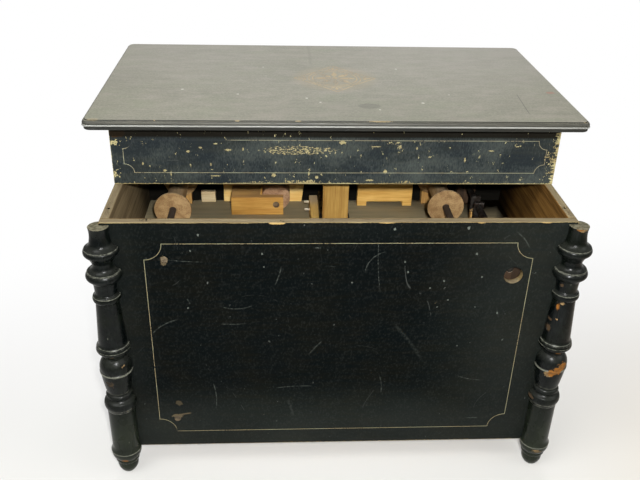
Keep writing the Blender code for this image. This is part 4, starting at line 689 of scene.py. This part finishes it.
def column_lacquer(name, chips=(), seed=0.0):
    """Glossy black lacquer, rubbed pale on its arrises and dusty where it faces up, with chips."""
    paint = Finish(name, {"Specular IOR Level": 0.15})
    worn = paint.node("Attribute", {}, output="Fac", attribute_name="worn")
    fine = paint.cloud(0.003, detail=3.0, seed=seed)
    broad = paint.cloud(0.02, detail=2.0, seed=seed + 1)
    for height in RING_LINES:
        worn = worn.most(abs(paint.z - height).below(0.0004, 0.0006) * 0.54)
    pale = (worn + (fine - 0.5) * 1.0).above(0.5, 0.6) * 0.7
    coat = paint.mix(broad.above(0.55, 0.3), (3, 6, 6), (8, 12, 7))
    streak = paint.cloud(0.0011, (1, 1, 7), detail=4.0, seed=seed + 2)
    patch = paint.cloud(0.012, (1, 1, 1.6), detail=3.0, seed=seed + 3)
    coat = paint.mix(((streak - 0.42) * patch.above(0.5, 0.2)).most(0.0) * 0.35, coat, (74, 80, 76))
    coat = paint.mix(paint.z.below(0.075, 0.06) * (broad * 0.4 + 0.1), coat, (50, 56, 42))
    settled = paint.upward.above(0.42, 0.6) * (fine * 0.8 + 0.3)
    coat = paint.mix(settled.least(1.0) * 0.13, coat, (106, 107, 98))
    coat = paint.mix(pale, coat, RING_LIGHT)
    away, own = paint.dots(0.009, (1, 1, 2), seed)
    coat = paint.mix(away.below(0.06, 0.06) * own.above(0.7, 0.2) * 0.5, coat, RING_LIGHT)
    chipped = pale * 0.0
    for *where, colour in chips:
        x, y, z, reach, tall = np.array(where) / 1000
        spot = paint.blot((x, y, z), (reach, 0.006, tall), 2.0)
        coat = paint.mix(spot, coat, paint.mix(fine.above(0.5, 0.3) * 0.6, colour, BROWN))
        chipped = chipped.most(spot)
    disc = paint.upward.above(0.9, 0.1) * paint.z.above(case_top - 0.004, 0.001)
    coat = paint.mix(disc * 0.9, coat, paint.mix(fine.above(0.5, 0.3), (88, 84, 66), (128, 123, 102)))
    rough = (0.2 + patch * 0.16 + pale * 0.2).most(chipped * 0.7).most(disc * 0.8).most(settled * 0.36)
    return paint.paint(coat, rough, (fine - 0.5) * 0.00004 - chipped * 0.00025)


def seat_on_corner(column, side, gap=0.0003, reach=0.026, tall=0.3):
    """Cut out of a column the case's corner and a hair more, as far as the column reaches in."""
    bm = bmesh.new()
    cube = bmesh.ops.create_cube(bm, size=1.0)["verts"]
    bmesh.ops.scale(bm, vec=(reach + gap, reach + gap, tall), verts=cube)
    middle = (side * (wide + (gap - reach) / 2), case_low.y + (reach - gap) / 2, foot_top - gap + tall / 2)
    bmesh.ops.translate(bm, vec=middle, verts=cube)
    mesh = bpy.data.meshes.new("corner_block")
    bm.to_mesh(mesh)
    bm.free()
    corner = bpy.data.objects.new("corner_block", mesh)
    bpy.context.scene.collection.objects.link(corner)
    cut = column.modifiers.new("seat on the corner", 'BOOLEAN')
    cut.object = corner
    cut.operation = 'DIFFERENCE'
    cut.solver = 'EXACT'
    bpy.context.view_layer.update()
    evaluated = column.evaluated_get(bpy.context.evaluated_depsgraph_get())
    seated = bpy.data.meshes.new_from_object(evaluated)
    column.modifiers.clear()
    column.data = seated
    bpy.data.objects.remove(corner)


column_profile = np.concatenate([turning(CROWN, lambda drop: case_top - drop),
                                 turning(BASE + FOOT, lambda rise: foot_top + rise)])
for label, side in (("left", -1), ("right", 1)):
    node = label + "_column"
    mesh = turned(node + "_turned", column_profile, wide * side, case_low.y - 0.002)
    coat = column_lacquer(node + "_lacquer", CHIPS[label], seed=side * 3.0)
    seat_on_corner(fix(node + "_turned", mesh, coat, node), side)

for label in ("left", "right"):
    node = "rear_foot_" + label
    low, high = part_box(node)
    middle = (low + high) / 2
    profile = turning(FOOT[1:], lambda rise: foot_top + rise)
    profile[:, 1] = np.minimum(profile[:, 1], high.z)
    mesh = turned(node + "_turned", profile, middle.x, middle.y)
    fix(node + "_turned", mesh, column_lacquer(node + "_lacquer", seed=middle.x), node)


# Plugs
# Two small dowels that close old screw holes at the front's left, their ends stained brown.

plug_wood = raw_wood("plug_wood", "y", (112, 98, 76), (64, 54, 42), dust=0.0)
for node in ("front_plug_upper", "front_plug_lower"):
    planed(node + "_dowel", node, plug_wood, ease=0.0004)


# Lid
# Four rails and a moulded top board, loose on the case. The top and its moulded edge are dulled
# by dust and handling, and the front rail is chipped pale all along.

rail_low, rail_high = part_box("lid_front_rail")
board_low, board_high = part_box("lid_top_board")
PALE_CHIP = (196, 186, 138)


def rail_bare(paint, fine):
    """The rail's lower edge and its right end are rubbed down to the wood."""
    low_edge = (paint.z + (fine - 0.5) * 0.0035).below(rail_low.z + 0.0012, 0.0004)
    jag = paint.cloud(0.0014, (3, 1, 0.8), detail=3.0, seed=41.0)
    end = (paint.x + (jag - 0.5) * 0.024).above(rail_high.x - 0.0022, 0.0008)
    return low_edge.most(end), 0.0


# Chips on the front rail in millimetres: (x, z), and how far they reach across and upright.
RAIL_CHIPS = (
    (-142.5, 325.5, 2.4, 1.3), (-130.8, 329.5, 2, 1.4), (-116.2, 333.4, 2.6, 1.1),
    (-104.2, 327.2, 4, 1.4), (-90.4, 328.1, 0.9, 2.2), (-160, 302.5, 0.8, 3.4), (-165.6, 305.7, 2, 1.6),
    (-121.5, 312.2, 0.8, 2), (-117.6, 300.2, 6, 0.8), (-27.4, 302.7, 1.2, 3.2), (-19.9, 298.7, 2, 2.6),
    (-61.5, 301.1, 3, 2.4), (-186, 312.8, 1.2, 2), (4.5, 335, 4.5, 2.4), (36.9, 331, 6, 0.7),
    (59.5, 330.7, 2.2, 3.2), (76.1, 329.3, 1.2, 1.8), (89.5, 320.4, 2, 1.2), (124.2, 317.4, 1.1, 3),
    (148.6, 326.9, 3.4, 1), (174.1, 331.5, 2.6, 0.8), (46.9, 304.9, 2.4, 2.6), (32.2, 295.7, 5.5, 1.2))


def rail_marks(paint, black):
    """Small upright flecks all over the rail and a few larger ones, down to yellowed filler, and
    a painted shadow along its top, under the board that overhangs it.
    """
    away, own = paint.dots(0.0062, (0.8, 1.0, 1.5), 5.0)
    fine = paint.cloud(0.0010, (1, 1, 1.8), detail=4.0, seed=31.0)
    pale = (away + (fine - 0.5) * 1.6).below(0.03, 0.06) * own.above(0.45, 0.05) * 0.9
    for x, z, reach, tall in np.array(RAIL_CHIPS) / 1000:
        pale = pale.most(paint.blot((x, rail_low.y, z), (reach * 0.75, 0.004, tall * 0.75), 2.6))
    tone = paint.mix(fine.above(0.5, 0.3), PALE_CHIP, (150, 134, 92))
    hatch = paint.cloud(0.0012, (2.2, 1.0, 0.8), detail=4.0, seed=33.0)
    zone = paint.blot((-0.0385, rail_low.y, 0.3268), (0.040, 0.02, 0.0052), 0.7)
    pale = pale.most((hatch + zone * 0.12).above(0.66, 0.03) * zone)
    haze = paint.cloud(0.03, (1.6, 1, 1), detail=5.0, seed=34.0)
    grit = paint.cloud(0.0013, (0.8, 1, 2.0), detail=4.0, seed=35.0)
    black = paint.mix((haze * 0.8 + grit * 0.5 - 0.56).most(0.0) * 2.0, black, (90, 96, 90))
    brown = paint.blot((-0.2075, rail_low.y, 0.3440), (0.0075, 0.004, 0.0050), 0.8)
    black = paint.mix(brown * 0.8, black, (84, 58, 34))
    # Painted shadow: a dark band along the rail's top, where the board above overhangs it.
    overhang_shadow = (paint.z + (fine - 0.5) * 0.002).above(rail_high.z - 0.0132, 0.003)
    black = paint.mix(overhang_shadow * 0.92, black, (24, 21, 15))
    return paint.mix(pale * 0.9, black, tone)


rail_scuffs = ((-0.0385, 0.3262, 0.036, 0.0040, 0.12), (-0.208, 0.334, 0.011, 0.006, 0.13),
               (-0.208, 0.303, 0.011, 0.009, 0.15), (-0.045, 0.294, 0.06, 0.0035, 0.16),
               (0.036, 0.3345, 0.036, 0.003, 0.15), (0.207, 0.315, 0.008, 0.03, 0.17),
               (0.10, 0.294, 0.07, 0.0030, 0.10), (0.040, 0.300, 0.030, 0.006, 0.09))
# Painted reflection: the front rail's lacquer is lighter than the other rails' (20, 24, 26), standing for
# the flash's reflection on it.
rail_coat_with_reflection = ((38, 44, 47), (46, 50, 48))
rail_under = (PALE_CHIP, (152, 136, 94))
coat = lacquer("lid_front_rail_lacquer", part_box("lid_front_rail"), "x", rail_coat_with_reflection, rail_under, field=-0.3,
               edges=0.45, scuffs=rail_scuffs, marks=rail_marks, bare=rail_bare, seed=32.2)
planed("lid_front_rail_lacquered", "lid_front_rail", coat)
for node, along in (("lid_back_rail", "x"), ("lid_left_rail", "y"), ("lid_right_rail", "y")):
    coat = lacquer(node + "_lacquer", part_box(node), along, ((20, 24, 26), (27, 29, 28)), rail_under,
                   field=-0.1, marks=handled, seed=len(node) * 2.3)
    planed(node + "_lacquered", node, coat)

rail_line_middle = rail_low.z + 0.0290


def rail_line_lost(paint):
    """The line's upper run is rubbed away at the left."""
    upper = paint.z.above(rail_line_middle, 0.002)
    return paint.x.below(-0.104, 0.01) * paint.x.above(-0.1985, 0.004) * upper


rail_gold = gilding("rail_gold", 0.67, (150, 150, 124), rail_coat_with_reflection[0], rail_line_lost)
gold_frame("rail_gold_line", "lid", rail_gold, plane=rail_low.y, middle=rail_line_middle,
           half_width=0.2035, half_height=0.0168, notch=0.009)


def moulded_edge(section, corners, radius, steps=10):
    """The board's skin: each point of the edge section, (inset, height), runs round a rectangle
    with round corners, drawn in by its inset."""
    low, high = corners
    middle = (np.array(low) + np.array(high)) / 2
    half = (np.array(high) - np.array(low)) / 2
    turns = np.linspace(0, math.pi / 2, steps)
    rings = []
    for inset, height in section:
        ring = []
        for quarter, (sx, sy) in enumerate(((1, 1), (-1, 1), (-1, -1), (1, -1))):
            angles = turns + quarter * math.pi / 2
            x = sx * (half[0] - inset - radius) + radius * np.cos(angles)
            y = sy * (half[1] - inset - radius) + radius * np.sin(angles)
            ring.append(np.stack([x, y, np.full(steps, height)], axis=1))
        rings.append(np.concatenate(ring))
    return np.array(rings) + np.array([middle[0], middle[1], low[2]])


def lid_section(thick):
    """Edge of the lid's board from its underside up: a set-back fillet, a bead, a quirk, an
    ovolo and a small step."""
    turn = np.linspace(0, math.pi, 9)
    bead = np.stack([0.0010 - 0.0010 * np.sin(turn), 0.0046 - 0.0010 * np.cos(turn)], axis=1)
    rise = np.linspace(0, math.pi / 2, 10)
    ovolo = np.stack([0.0004 + 0.0017 * (1 - np.cos(rise)), 0.0062 + 0.0028 * np.sin(rise)], axis=1)
    return np.concatenate([[(0.0030, 0.0), (0.0018, 0.0002), (0.0013, 0.0008), (0.0013, 0.0033)], bead,
                           [(0.0012, 0.0059)], ovolo,
                           [(0.0023, thick - 0.0007), (0.0024, thick - 0.0003), (0.0027, thick)]])


ORNAMENT_MIDDLE = (0.003, 0.0389)
SPECK = (206, 204, 190)
# Pale specks on the lid's top in millimetres: (x, y) and how far they reach.
LID_SPECKS = (
    (-97, -15.1, 2.2), (-73.5, 76.9, 1.8), (-29, -26.1, 2.4), (-16, -38.1, 2), (84.5, -38.6, 3),
    (73, 74.4, 2.4), (39.8, -58.7, 2), (115.3, -12.8, 1.6), (-153, -1.1, 2.8))


def lid_top(paint, coat):
    """Dust and dulling on the upward face, with faint lengthwise streaks, a dark oval, one
    scratch and pale specks; the moulded edge is greyed too, with painted shade on its lower
    fillet, in its quirk and on the step under its top arris, and a painted highlight along its bead."""
    streak = paint.cloud(0.0018, (16, 1, 1), detail=5.0, seed=11.0)
    broad = paint.cloud(0.05, (2.5, 1, 1), detail=2.0, seed=12.0)
    dull = paint.mix((streak * 0.8 + broad * 0.3).above(0.55, 0.34), (114, 113, 98), (128, 126, 110))
    mottle = paint.cloud(0.012, (2, 1, 1), detail=5.0, seed=13.0)
    dull = paint.mix((mottle - 0.46).most(0.0) * 2.2, dull, (144, 137, 125))
    green = paint.cloud(0.022, (2, 1, 1), detail=4.0, seed=14.0)
    dull = paint.mix((green - 0.48).most(0.0) * 2.2, dull, (120, 124, 101))
    grit = paint.cloud(0.0012, (1.5, 1, 1), detail=5.0, seed=15.0)
    dull = paint.mix((grit - 0.45).most(0.0) * 1.6, dull, (160, 157, 142))
    dull = paint.mix((0.42 - grit).most(0.0) * 1.6, dull, (84, 84, 70))
    plane = board_high.z
    dark = paint.blot((0.0313, -0.0484, plane), (0.0120, 0.0080, 0.002), 0.5) * 0.28
    dark = dark.most(abs(paint.x - paint.y * 0.062 - 0.1861).below(0.0004, 0.0006)
                     * abs(paint.y + 0.0387).below(0.028, 0.012) * 0.55)
    dark = dark.most(abs(paint.x + 0.0205).below(0.0016, 0.0024) * paint.y.above(0.085, 0.02) * 0.12)
    dull = paint.mix(dark, dull, LACQUER_BROWN)
    halo = paint.blot((*ORNAMENT_MIDDLE, plane), (0.048, 0.046, 0.003))
    dull = paint.mix(halo * 0.35, dull, (146, 134, 108))
    near = abs(paint.x - 0.02).below(0.12, 0.22) * paint.y.below(-0.05, 0.14)
    dull = paint.mix(near * 0.24, dull, (60, 58, 44))
    far = paint.x.above(0.04, 0.34).most(paint.x.below(-0.06, 0.2) * 0.6) * paint.y.above(0.04, 0.24)
    dull = paint.mix(far * (mottle + 0.5).least(1.0) * 0.5, dull, (156, 152, 144))
    away, own = paint.dots(0.024, (1.3, 1.0, 1.0), 7.0)
    pale = away.below(0.02, 0.03) * own.above(0.55, 0.3) * 0.45
    for x, y, reach in np.array(LID_SPECKS) / 1000:
        pale = pale.most(paint.blot((x, y, plane), (reach * 0.6, reach * 0.55, 0.003), 0.9) * 0.7)
    dull = paint.mix(pale, dull, SPECK)
    red = paint.blot((0.222, -0.004, plane), (0.0050, 0.0040, 0.003), 0.8)
    dull = paint.mix(red * 0.5, dull, (150, 96, 78))
    level = paint.upward.above(0.93, 0.1)
    # Painted shade: the quirk above the bead is left black.
    quirk = paint.blot((0.0, 0.0, board_low.z + 0.0059), (9.0, 9.0, 0.0004))
    greyed = paint.mix(streak.above(0.5, 0.4), (60, 60, 54), (80, 79, 70))
    # Painted shade: under the bead the lower fillet is mostly the black coat.
    side = paint.mix(paint.z.above(board_low.z + 0.0036, 0.0004), paint.mix(0.25, coat, greyed), greyed)
    side = paint.mix(quirk * 0.85, side, LACQUER)
    side = paint.mix(pale, side, SPECK)
    # Painted shade: a dark line on the small step under the top arris.
    arris = paint.z.above(board_high.z - 0.0013, 0.0006) * (streak + 0.4).least(1.0)
    side = paint.mix(arris * 0.7, side, (34, 34, 30))
    tan = paint.blot((-0.2240, -0.0885, plane), (0.0060, 0.0030, 0.0015), 1.2) * 0.5
    for x, reach in ((-0.1687, 0.0010), (-0.0943, 0.0024), (-0.0390, 0.0030), (0.0364, 0.0120),
                     (0.2305, 0.0035)):
        tan = tan.most(paint.blot((x, board_low.y + 0.0024, plane), (reach, 0.0010, 0.0012), 1.2))
    # Painted highlight: a pale line along the bead.
    bead = abs(paint.z - board_low.z - 0.0048).below(0.0007, 0.0006) * (broad + 0.3).least(1.0)
    side = paint.mix(bead * 0.7, side, (180, 181, 176))
    both = paint.mix(level, side, dull)
    return paint.mix(tan * 0.5, both, (172, 152, 110))


# The skin's top lies a hair under the board's own.
lid_surface = board_high.z - 0.0001
board = (board_low, board_high)
lid_coat = lacquer("lid_top_lacquer", board, "x", gloss=0.35, field=-1.2, edges=0.0, rub=-0.01,
                   marks=lid_top, dusted=0.6, seed=6.0)
edge = moulded_edge(lid_section(lid_surface - board_low.z), board, radius=0.006)
fix("lid_top_moulded", skin("lid_top_moulded", edge, angle=28.0), lid_coat, "lid_top_board")


# Lid ornament
# A rosette in a double ring and a lozenge, painted in gold that has nearly gone under the
# dust, in the middle of the lid's top.

def plate(name, path, under, proud):
    """A flat plate over a closed path in its plane, from under the ground to proud of it."""
    rims = [np.concatenate([path, np.full((len(path), 1), depth)], axis=1) for depth in (-under, proud)]
    return skin(name, np.stack(rims), angle=30.0)


def ring_path(radius, steps=64):
    """A circle round the origin."""
    turns = np.linspace(0, 2 * math.pi, steps, endpoint=False)
    return np.stack([radius * np.cos(turns), radius * np.sin(turns)], axis=1)


def leaf_path(start, end, swell, steps=12):
    """A closed leaf from start to end whose two sides swell out by half a sine wave."""
    start, end = np.array(start), np.array(end)
    share = np.linspace(0, 1, steps, endpoint=False)
    side = np.array([start[1] - end[1], end[0] - start[0]])
    side = side / np.linalg.norm(side) * swell
    there = start + share[:, None] * (end - start) + np.sin(math.pi * share)[:, None] * side
    back = end + share[:, None] * (start - end) - np.sin(math.pi * share)[:, None] * side
    return np.concatenate([there, back])


def lozenge_path(wide_by, deep_by, dish, steps=16):
    """A lozenge with points on both axes whose four sides dish in by a parabola."""
    points = np.array([(wide_by, 0.0), (0.0, deep_by), (-wide_by, 0.0), (0.0, -deep_by)])
    share = np.linspace(0, 1, steps, endpoint=False)[:, None]
    sides = []
    for start, end in zip(points, np.roll(points, -1, axis=0)):
        middle = (start + end) / np.linalg.norm(start + end)
        sides.append(start + share * (end - start) - 4 * dish * share * (1 - share) * middle)
    return np.concatenate(sides)


lines = [ring_path(0.0275), ring_path(0.0235), lozenge_path(0.0430, 0.0450, 0.0012)]
leaves = [ring_path(0.0032, steps=24)]
for spoke in range(8):
    aim = np.array([math.cos(spoke * math.pi / 4), math.sin(spoke * math.pi / 4)])
    leaves.append(leaf_path(aim * 0.0050, aim * 0.0215, 0.0030))
for quarter in range(4):
    aim = np.array([math.cos(quarter * math.pi / 2), math.sin(quarter * math.pi / 2)])
    aside = np.array([-aim[1], aim[0]])
    leaves.append(leaf_path(aim * 0.0300, aim * 0.0390, 0.0016))
    for lean in (-1, 1):
        root, tip = aim * 0.0300 + aside * lean * 0.0014, aim * 0.0340 + aside * lean * 0.0066
        leaves.append(leaf_path(root, tip, 0.0012))
ORNAMENT_LINE, SUNK = 0.0012, 0.00002
shapes = [skin("ornament_line", band(path, ORNAMENT_LINE, SUNK, LINE_PROUD), loop=True) for path in lines]
shapes += [plate("ornament_leaf", path, SUNK, LINE_PROUD) for path in leaves]
bm = bmesh.new()
for shape in shapes:
    bm.from_mesh(shape)
    bpy.data.meshes.remove(shape)
bmesh.ops.translate(bm, vec=(*ORNAMENT_MIDDLE, lid_surface), verts=bm.verts)
ornament = bpy.data.meshes.new("lid_ornament")
bm.to_mesh(ornament)
bm.free()
ornament_gold = gilding("ornament_gold", 0.60, (166, 148, 110), (122, 118, 101))
fix("lid_ornament", ornament, ornament_gold, body="lid")


# Shelf and wind chest
# The grey shelf that carries the roll mechanism, the cleats it is nailed to, and below it the
# bellows board with its ports and the board that ends the chest.

shelf_wood = raw_wood("shelf_wood", "x", (162, 146, 108), (112, 99, 70), dust=0.8, seed=2.0,
                      grey=(143, 133, 106))
planed("pan_board_planed", "pan_board", shelf_wood, ease=0.0005)
chest_wood = raw_wood("chest_wood", "x", BARE_LIGHT, BARE_DARK, seed=4.0)
cleat_wood = raw_wood("cleat_wood", "y", BARE_LIGHT, BARE_DARK, seed=5.0)
for node in ("bellows_board", "bellows_cleat_front", "bellows_cleat_back"):
    planed(node + "_planed", node, chest_wood)
for node in ("pan_cleat_left", "pan_cleat_right", "chest_end_board"):
    planed(node + "_planed", node, cleat_wood)


# Tracker, reeds and paper guide
# Brass tracker bar with a slot for each note over a block of beech, the reed plate below it,
# and the strip of light wood with two pegs that guides the paper's edge.

def worn_metal(name, bright, dull, rough=0.35, metallic=1.0, seed=0.0):
    """Aged metal: cloudy tarnish over brushed streaks."""
    metal = Finish(name, {"Metallic": metallic})
    tarnish = metal.cloud(0.006, detail=4.0, seed=seed)
    brushed = metal.cloud(0.0012, (12, 1, 1), detail=2.0, seed=seed + 1)
    colour = metal.mix(tarnish.above(0.5, 0.3), bright, dull)
    return metal.paint(colour, rough + tarnish * 0.3, (brushed - 0.5) * 0.00003)


def coated(finish, *nodes):
    """Give nodes whose own shape is right this finish."""
    for node in nodes:
        frame["nodes"][node].data.materials.clear()
        frame["nodes"][node].data.materials.append(finish.material)


BRASS = worn_metal("aged_brass", (186, 152, 88), (118, 92, 54))
coated(BRASS, "tracker_bar", "reed_plate")
coated(raw_wood("reed_block_wood", "y", (206, 178, 128), (164, 132, 88), seed=7.0), "reed_block")

guide_wood = raw_wood("guide_wood", "y", (240, 200, 118), (208, 164, 86), dust=0.8, seed=8.0,
                      dust_from=0.016, grey=(190, 166, 132))
planed("paper_guide_planed", "paper_guide", guide_wood)
peg_wood = raw_wood("peg_wood", "x", (232, 224, 204), (206, 190, 158), dust=0.0)
for node in ("guide_peg_front", "guide_peg_back"):
    planed(node + "_rounded", node, peg_wood, ease=0.0006)


# Pressure flap
# A light board that swings back onto the tracker to hold the paper down. It stands upright on
# a steel pin in a bracket bent from iron sheet.

flap_wood = raw_wood("flap_wood", "z", (184, 146, 76), (148, 108, 48), dust=0.2, seed=9.0)
planed("pressure_flap_planed", "pressure_flap", flap_wood)
IRON = worn_metal("dark_iron", (74, 70, 66), (46, 38, 32), rough=0.45, metallic=0.85, seed=3.0)
STEEL = worn_metal("dull_steel", (150, 146, 138), (96, 86, 74), seed=4.0)
planed("flap_bracket_bent", "flap_bracket", IRON, ease=0.0003)
planed("flap_pin_rounded", "flap_pin", STEEL, ease=0.0004)


# Roller and its bracket
# A wooden roller on its own gudgeons in a cut-out block of golden wood, with a slotted screw
# let into the block's front.

bracket_wood = raw_wood("bracket_wood", "x", (214, 166, 86), (180, 128, 56), dust=0.7, seed=10.0,
                        grey=(170, 134, 92))
planed("roller_bracket_planed", "roller_bracket", bracket_wood)
roller_wood = raw_wood("roller_wood", "y", (182, 146, 112), (140, 106, 78), dust=0.3, seed=11.0)
planed("guide_roller_turned", "guide_roller", roller_wood, ease=0.0006)
screw_iron = worn_metal("roller_screw_iron", (138, 114, 84), (96, 76, 54), rough=0.5, metallic=0.25,
                        seed=6.0)
planed("roller_screw_slotted", "roller_screw", screw_iron, ease=0.0003)


# Rails and stop block
# Two rails of bright pine at the back of the shelf, the right one lifted on its own feet, and
# a small stop block beside the left one.

# Painted light: the left rail's wood is lighter than the right's, making up for the shadow the spools cast
# on it.
for node, light, dark in (("back_rail_left", (252, 220, 146), (232, 186, 104)),
                          ("back_rail_right", (236, 192, 108), (206, 152, 70))):
    planed(node + "_planed", node, raw_wood(node + "_wood", "x", light, dark, dust=0.15, seed=12.0))
stop_wood = raw_wood("stop_wood", "x", (222, 204, 164), (186, 160, 116), dust=0.3, seed=13.0)
planed("stop_block_planed", "stop_block", stop_wood)


# Bearings, crankshaft, gears and rods
# Wooden bearing posts carry a forged crankshaft and the two spools. A brass pinion drives the
# take-up gear, and wooden rods hang from the throws.

post_wood = raw_wood("post_wood", "z", (206, 164, 96), (164, 120, 64), dust=0.4, seed=14.0)
# Painted shade: the crank's bearing posts, seen only through the crank hole, are a darker brown than the
# other posts.
grimy_wood = raw_wood("grimy_wood", "z", (78, 58, 40), (50, 37, 26), dust=0.5, seed=17.0)
for node in sorted(frame["nodes"]):
    if "_bearing_" in node or node.startswith("connecting_rod"):
        planed(node + "_planed", node, grimy_wood if node.startswith("crank") else post_wood)
planed("crankshaft_forged", "crankshaft", IRON, ease=0.0005, steps=2)
for node in ("crank_pinion", "takeup_gear"):
    planed(node + "_filed", node, BRASS, ease=0.0002, steps=2)


# Spools
# Beech spools turned in one piece, with a thin flange at either end, on a long axle.

AXLE_RADIUS = 0.0038
for node in ("takeup_spool", "feed_spool"):
    low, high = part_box(node)
    centre = (low + high) / 2
    spool_wood = raw_wood(node + "_wood", "y", (180, 148, 102), (138, 106, 68), dust=0.4, seed=15.0,
                          axle=(centre.x, centre.z, AXLE_RADIUS))
    planed(node + "_turned", node, spool_wood, ease=0.0005, steps=2)


# Bellows
# Two feeders side by side and the reservoir: moving boards of light wood under the bellows
# board, with thin tan sheepskin folded between them and a wire spring in the reservoir.

board_wood = raw_wood("feeder_wood", "x", (206, 168, 104), (168, 126, 70), dust=0.3, seed=16.0)
for node in ("feeder_board_front", "feeder_board_back", "reservoir_board"):
    planed(node + "_planed", node, board_wood)


def bent_wire(name, node, body, upper, lower, aside):
    """The node's V spring: its upper leg, over the height upper, stays, and its lower leg, under
    the height lower, stands aside, so that the legs shut side by side."""
    bm = bmesh.new()
    bm.from_mesh(frame["nodes"][node].data)
    bmesh.ops.remove_doubles(bm, verts=bm.verts, dist=1e-6)
    mesh = bpy.data.meshes.new(name)
    bm.to_mesh(mesh)
    bm.free()
    points = np.empty(len(mesh.vertices) * 3)
    mesh.vertices.foreach_get("co", points)
    points = points.reshape(-1, 3)
    points[:, 1] += aside * np.clip((upper - points[:, 2]) / (upper - lower), 0, 1)
    mesh.vertices.foreach_set("co", points.ravel())
    mesh.shade_smooth()
    mesh.set_sharp_from_angle(angle=math.radians(50))
    x, y = points.mean(axis=0)[:2]
    fix(name, mesh, STEEL, node, hinge=(body, (x, y, upper), (x, y, lower)))


def sheepskin(name):
    """Thin tan leather: cloudy tan with a fine pebbled grain."""
    hide = Finish(name, {"Specular IOR Level": 0.3})
    blotch = hide.cloud(0.02, detail=3.0, seed=21.0)
    pebble = hide.cloud(0.0012, detail=2.0, seed=22.0)
    colour = hide.mix(blotch.above(0.5, 0.3), (190, 150, 104), (150, 112, 74))
    return hide.paint(colour, 0.75 + pebble * 0.1, (pebble - 0.5) * 0.0001)


def pleated(name, node, body, folds=3, thick=0.0009, deepest=0.006, steps=8):
    """Leather folded between two boards: its wall runs round three sides of the space, and each
    point down it draws in by a cosine of its share of the height, once for each fold."""
    points = np.array([tuple(v.co) for v in frame["nodes"][node].data.vertices])
    low, high = points.min(axis=0), points.max(axis=0)
    left_foot = points[points[:, 0] < low[0] + 0.001][:, 2].min()
    right_foot = points[points[:, 0] > high[0] - 0.001][:, 2].min()
    near, far = (low[0], high[0]) if right_foot < left_foot else (high[0], low[0])
    near_foot, far_foot = max(left_foot, right_foot), min(left_foot, right_foot)
    out = np.sign(far - near)
    along = np.linspace(near, far, 45)
    across = np.linspace(low[1], high[1], 29)[1:-1]
    route = [(x, low[1], 0.0, -1.0) for x in along[:-1]] + [(far, low[1], out * 0.7, -0.7)]
    route += [(far, y, out, 0.0) for y in across]
    route += [(far, high[1], out * 0.7, 0.7)] + [(x, high[1], 0.0, 1.0) for x in along[-2::-1]]
    route = np.array(route)
    foot = near_foot + (far_foot - near_foot) * (route[:, 0] - near) / (far - near)
    share = np.linspace(0, 1, folds * steps + 1)
    fold = (1 - np.cos(2 * math.pi * folds * share)) / 2
    deep = np.minimum(deepest, (high[2] - foot) / folds * 0.4)[:, None] * fold
    height = high[2] + (foot - high[2])[:, None] * share
    layers = []
    for inward in (deep, deep + thick):
        layers.append(np.stack([route[:, 0, None] - inward * route[:, 2, None],
                                route[:, 1, None] - inward * route[:, 3, None], height], axis=-1))
    wall = np.concatenate([layers[0], layers[1][:, ::-1]], axis=1)
    middle = (low[1] + high[1]) / 2
    hinge = (body, (far, middle, high[2]), (far, middle, far_foot))
    fix(name, skin(name, wall, angle=80.0), HIDE, node, hinge=hinge)


HIDE = sheepskin("bellows_sheepskin")
for node, body in (("feeder_leather_front", "feeder_front"), ("feeder_leather_back", "feeder_back"),
                   ("reservoir_leather", "reservoir")):
    pleated(node + "_folded", node, body)
bent_wire("reservoir_spring_bent", "reservoir_spring", "reservoir", upper=0.1370, lower=0.1300,
          aside=0.0028)
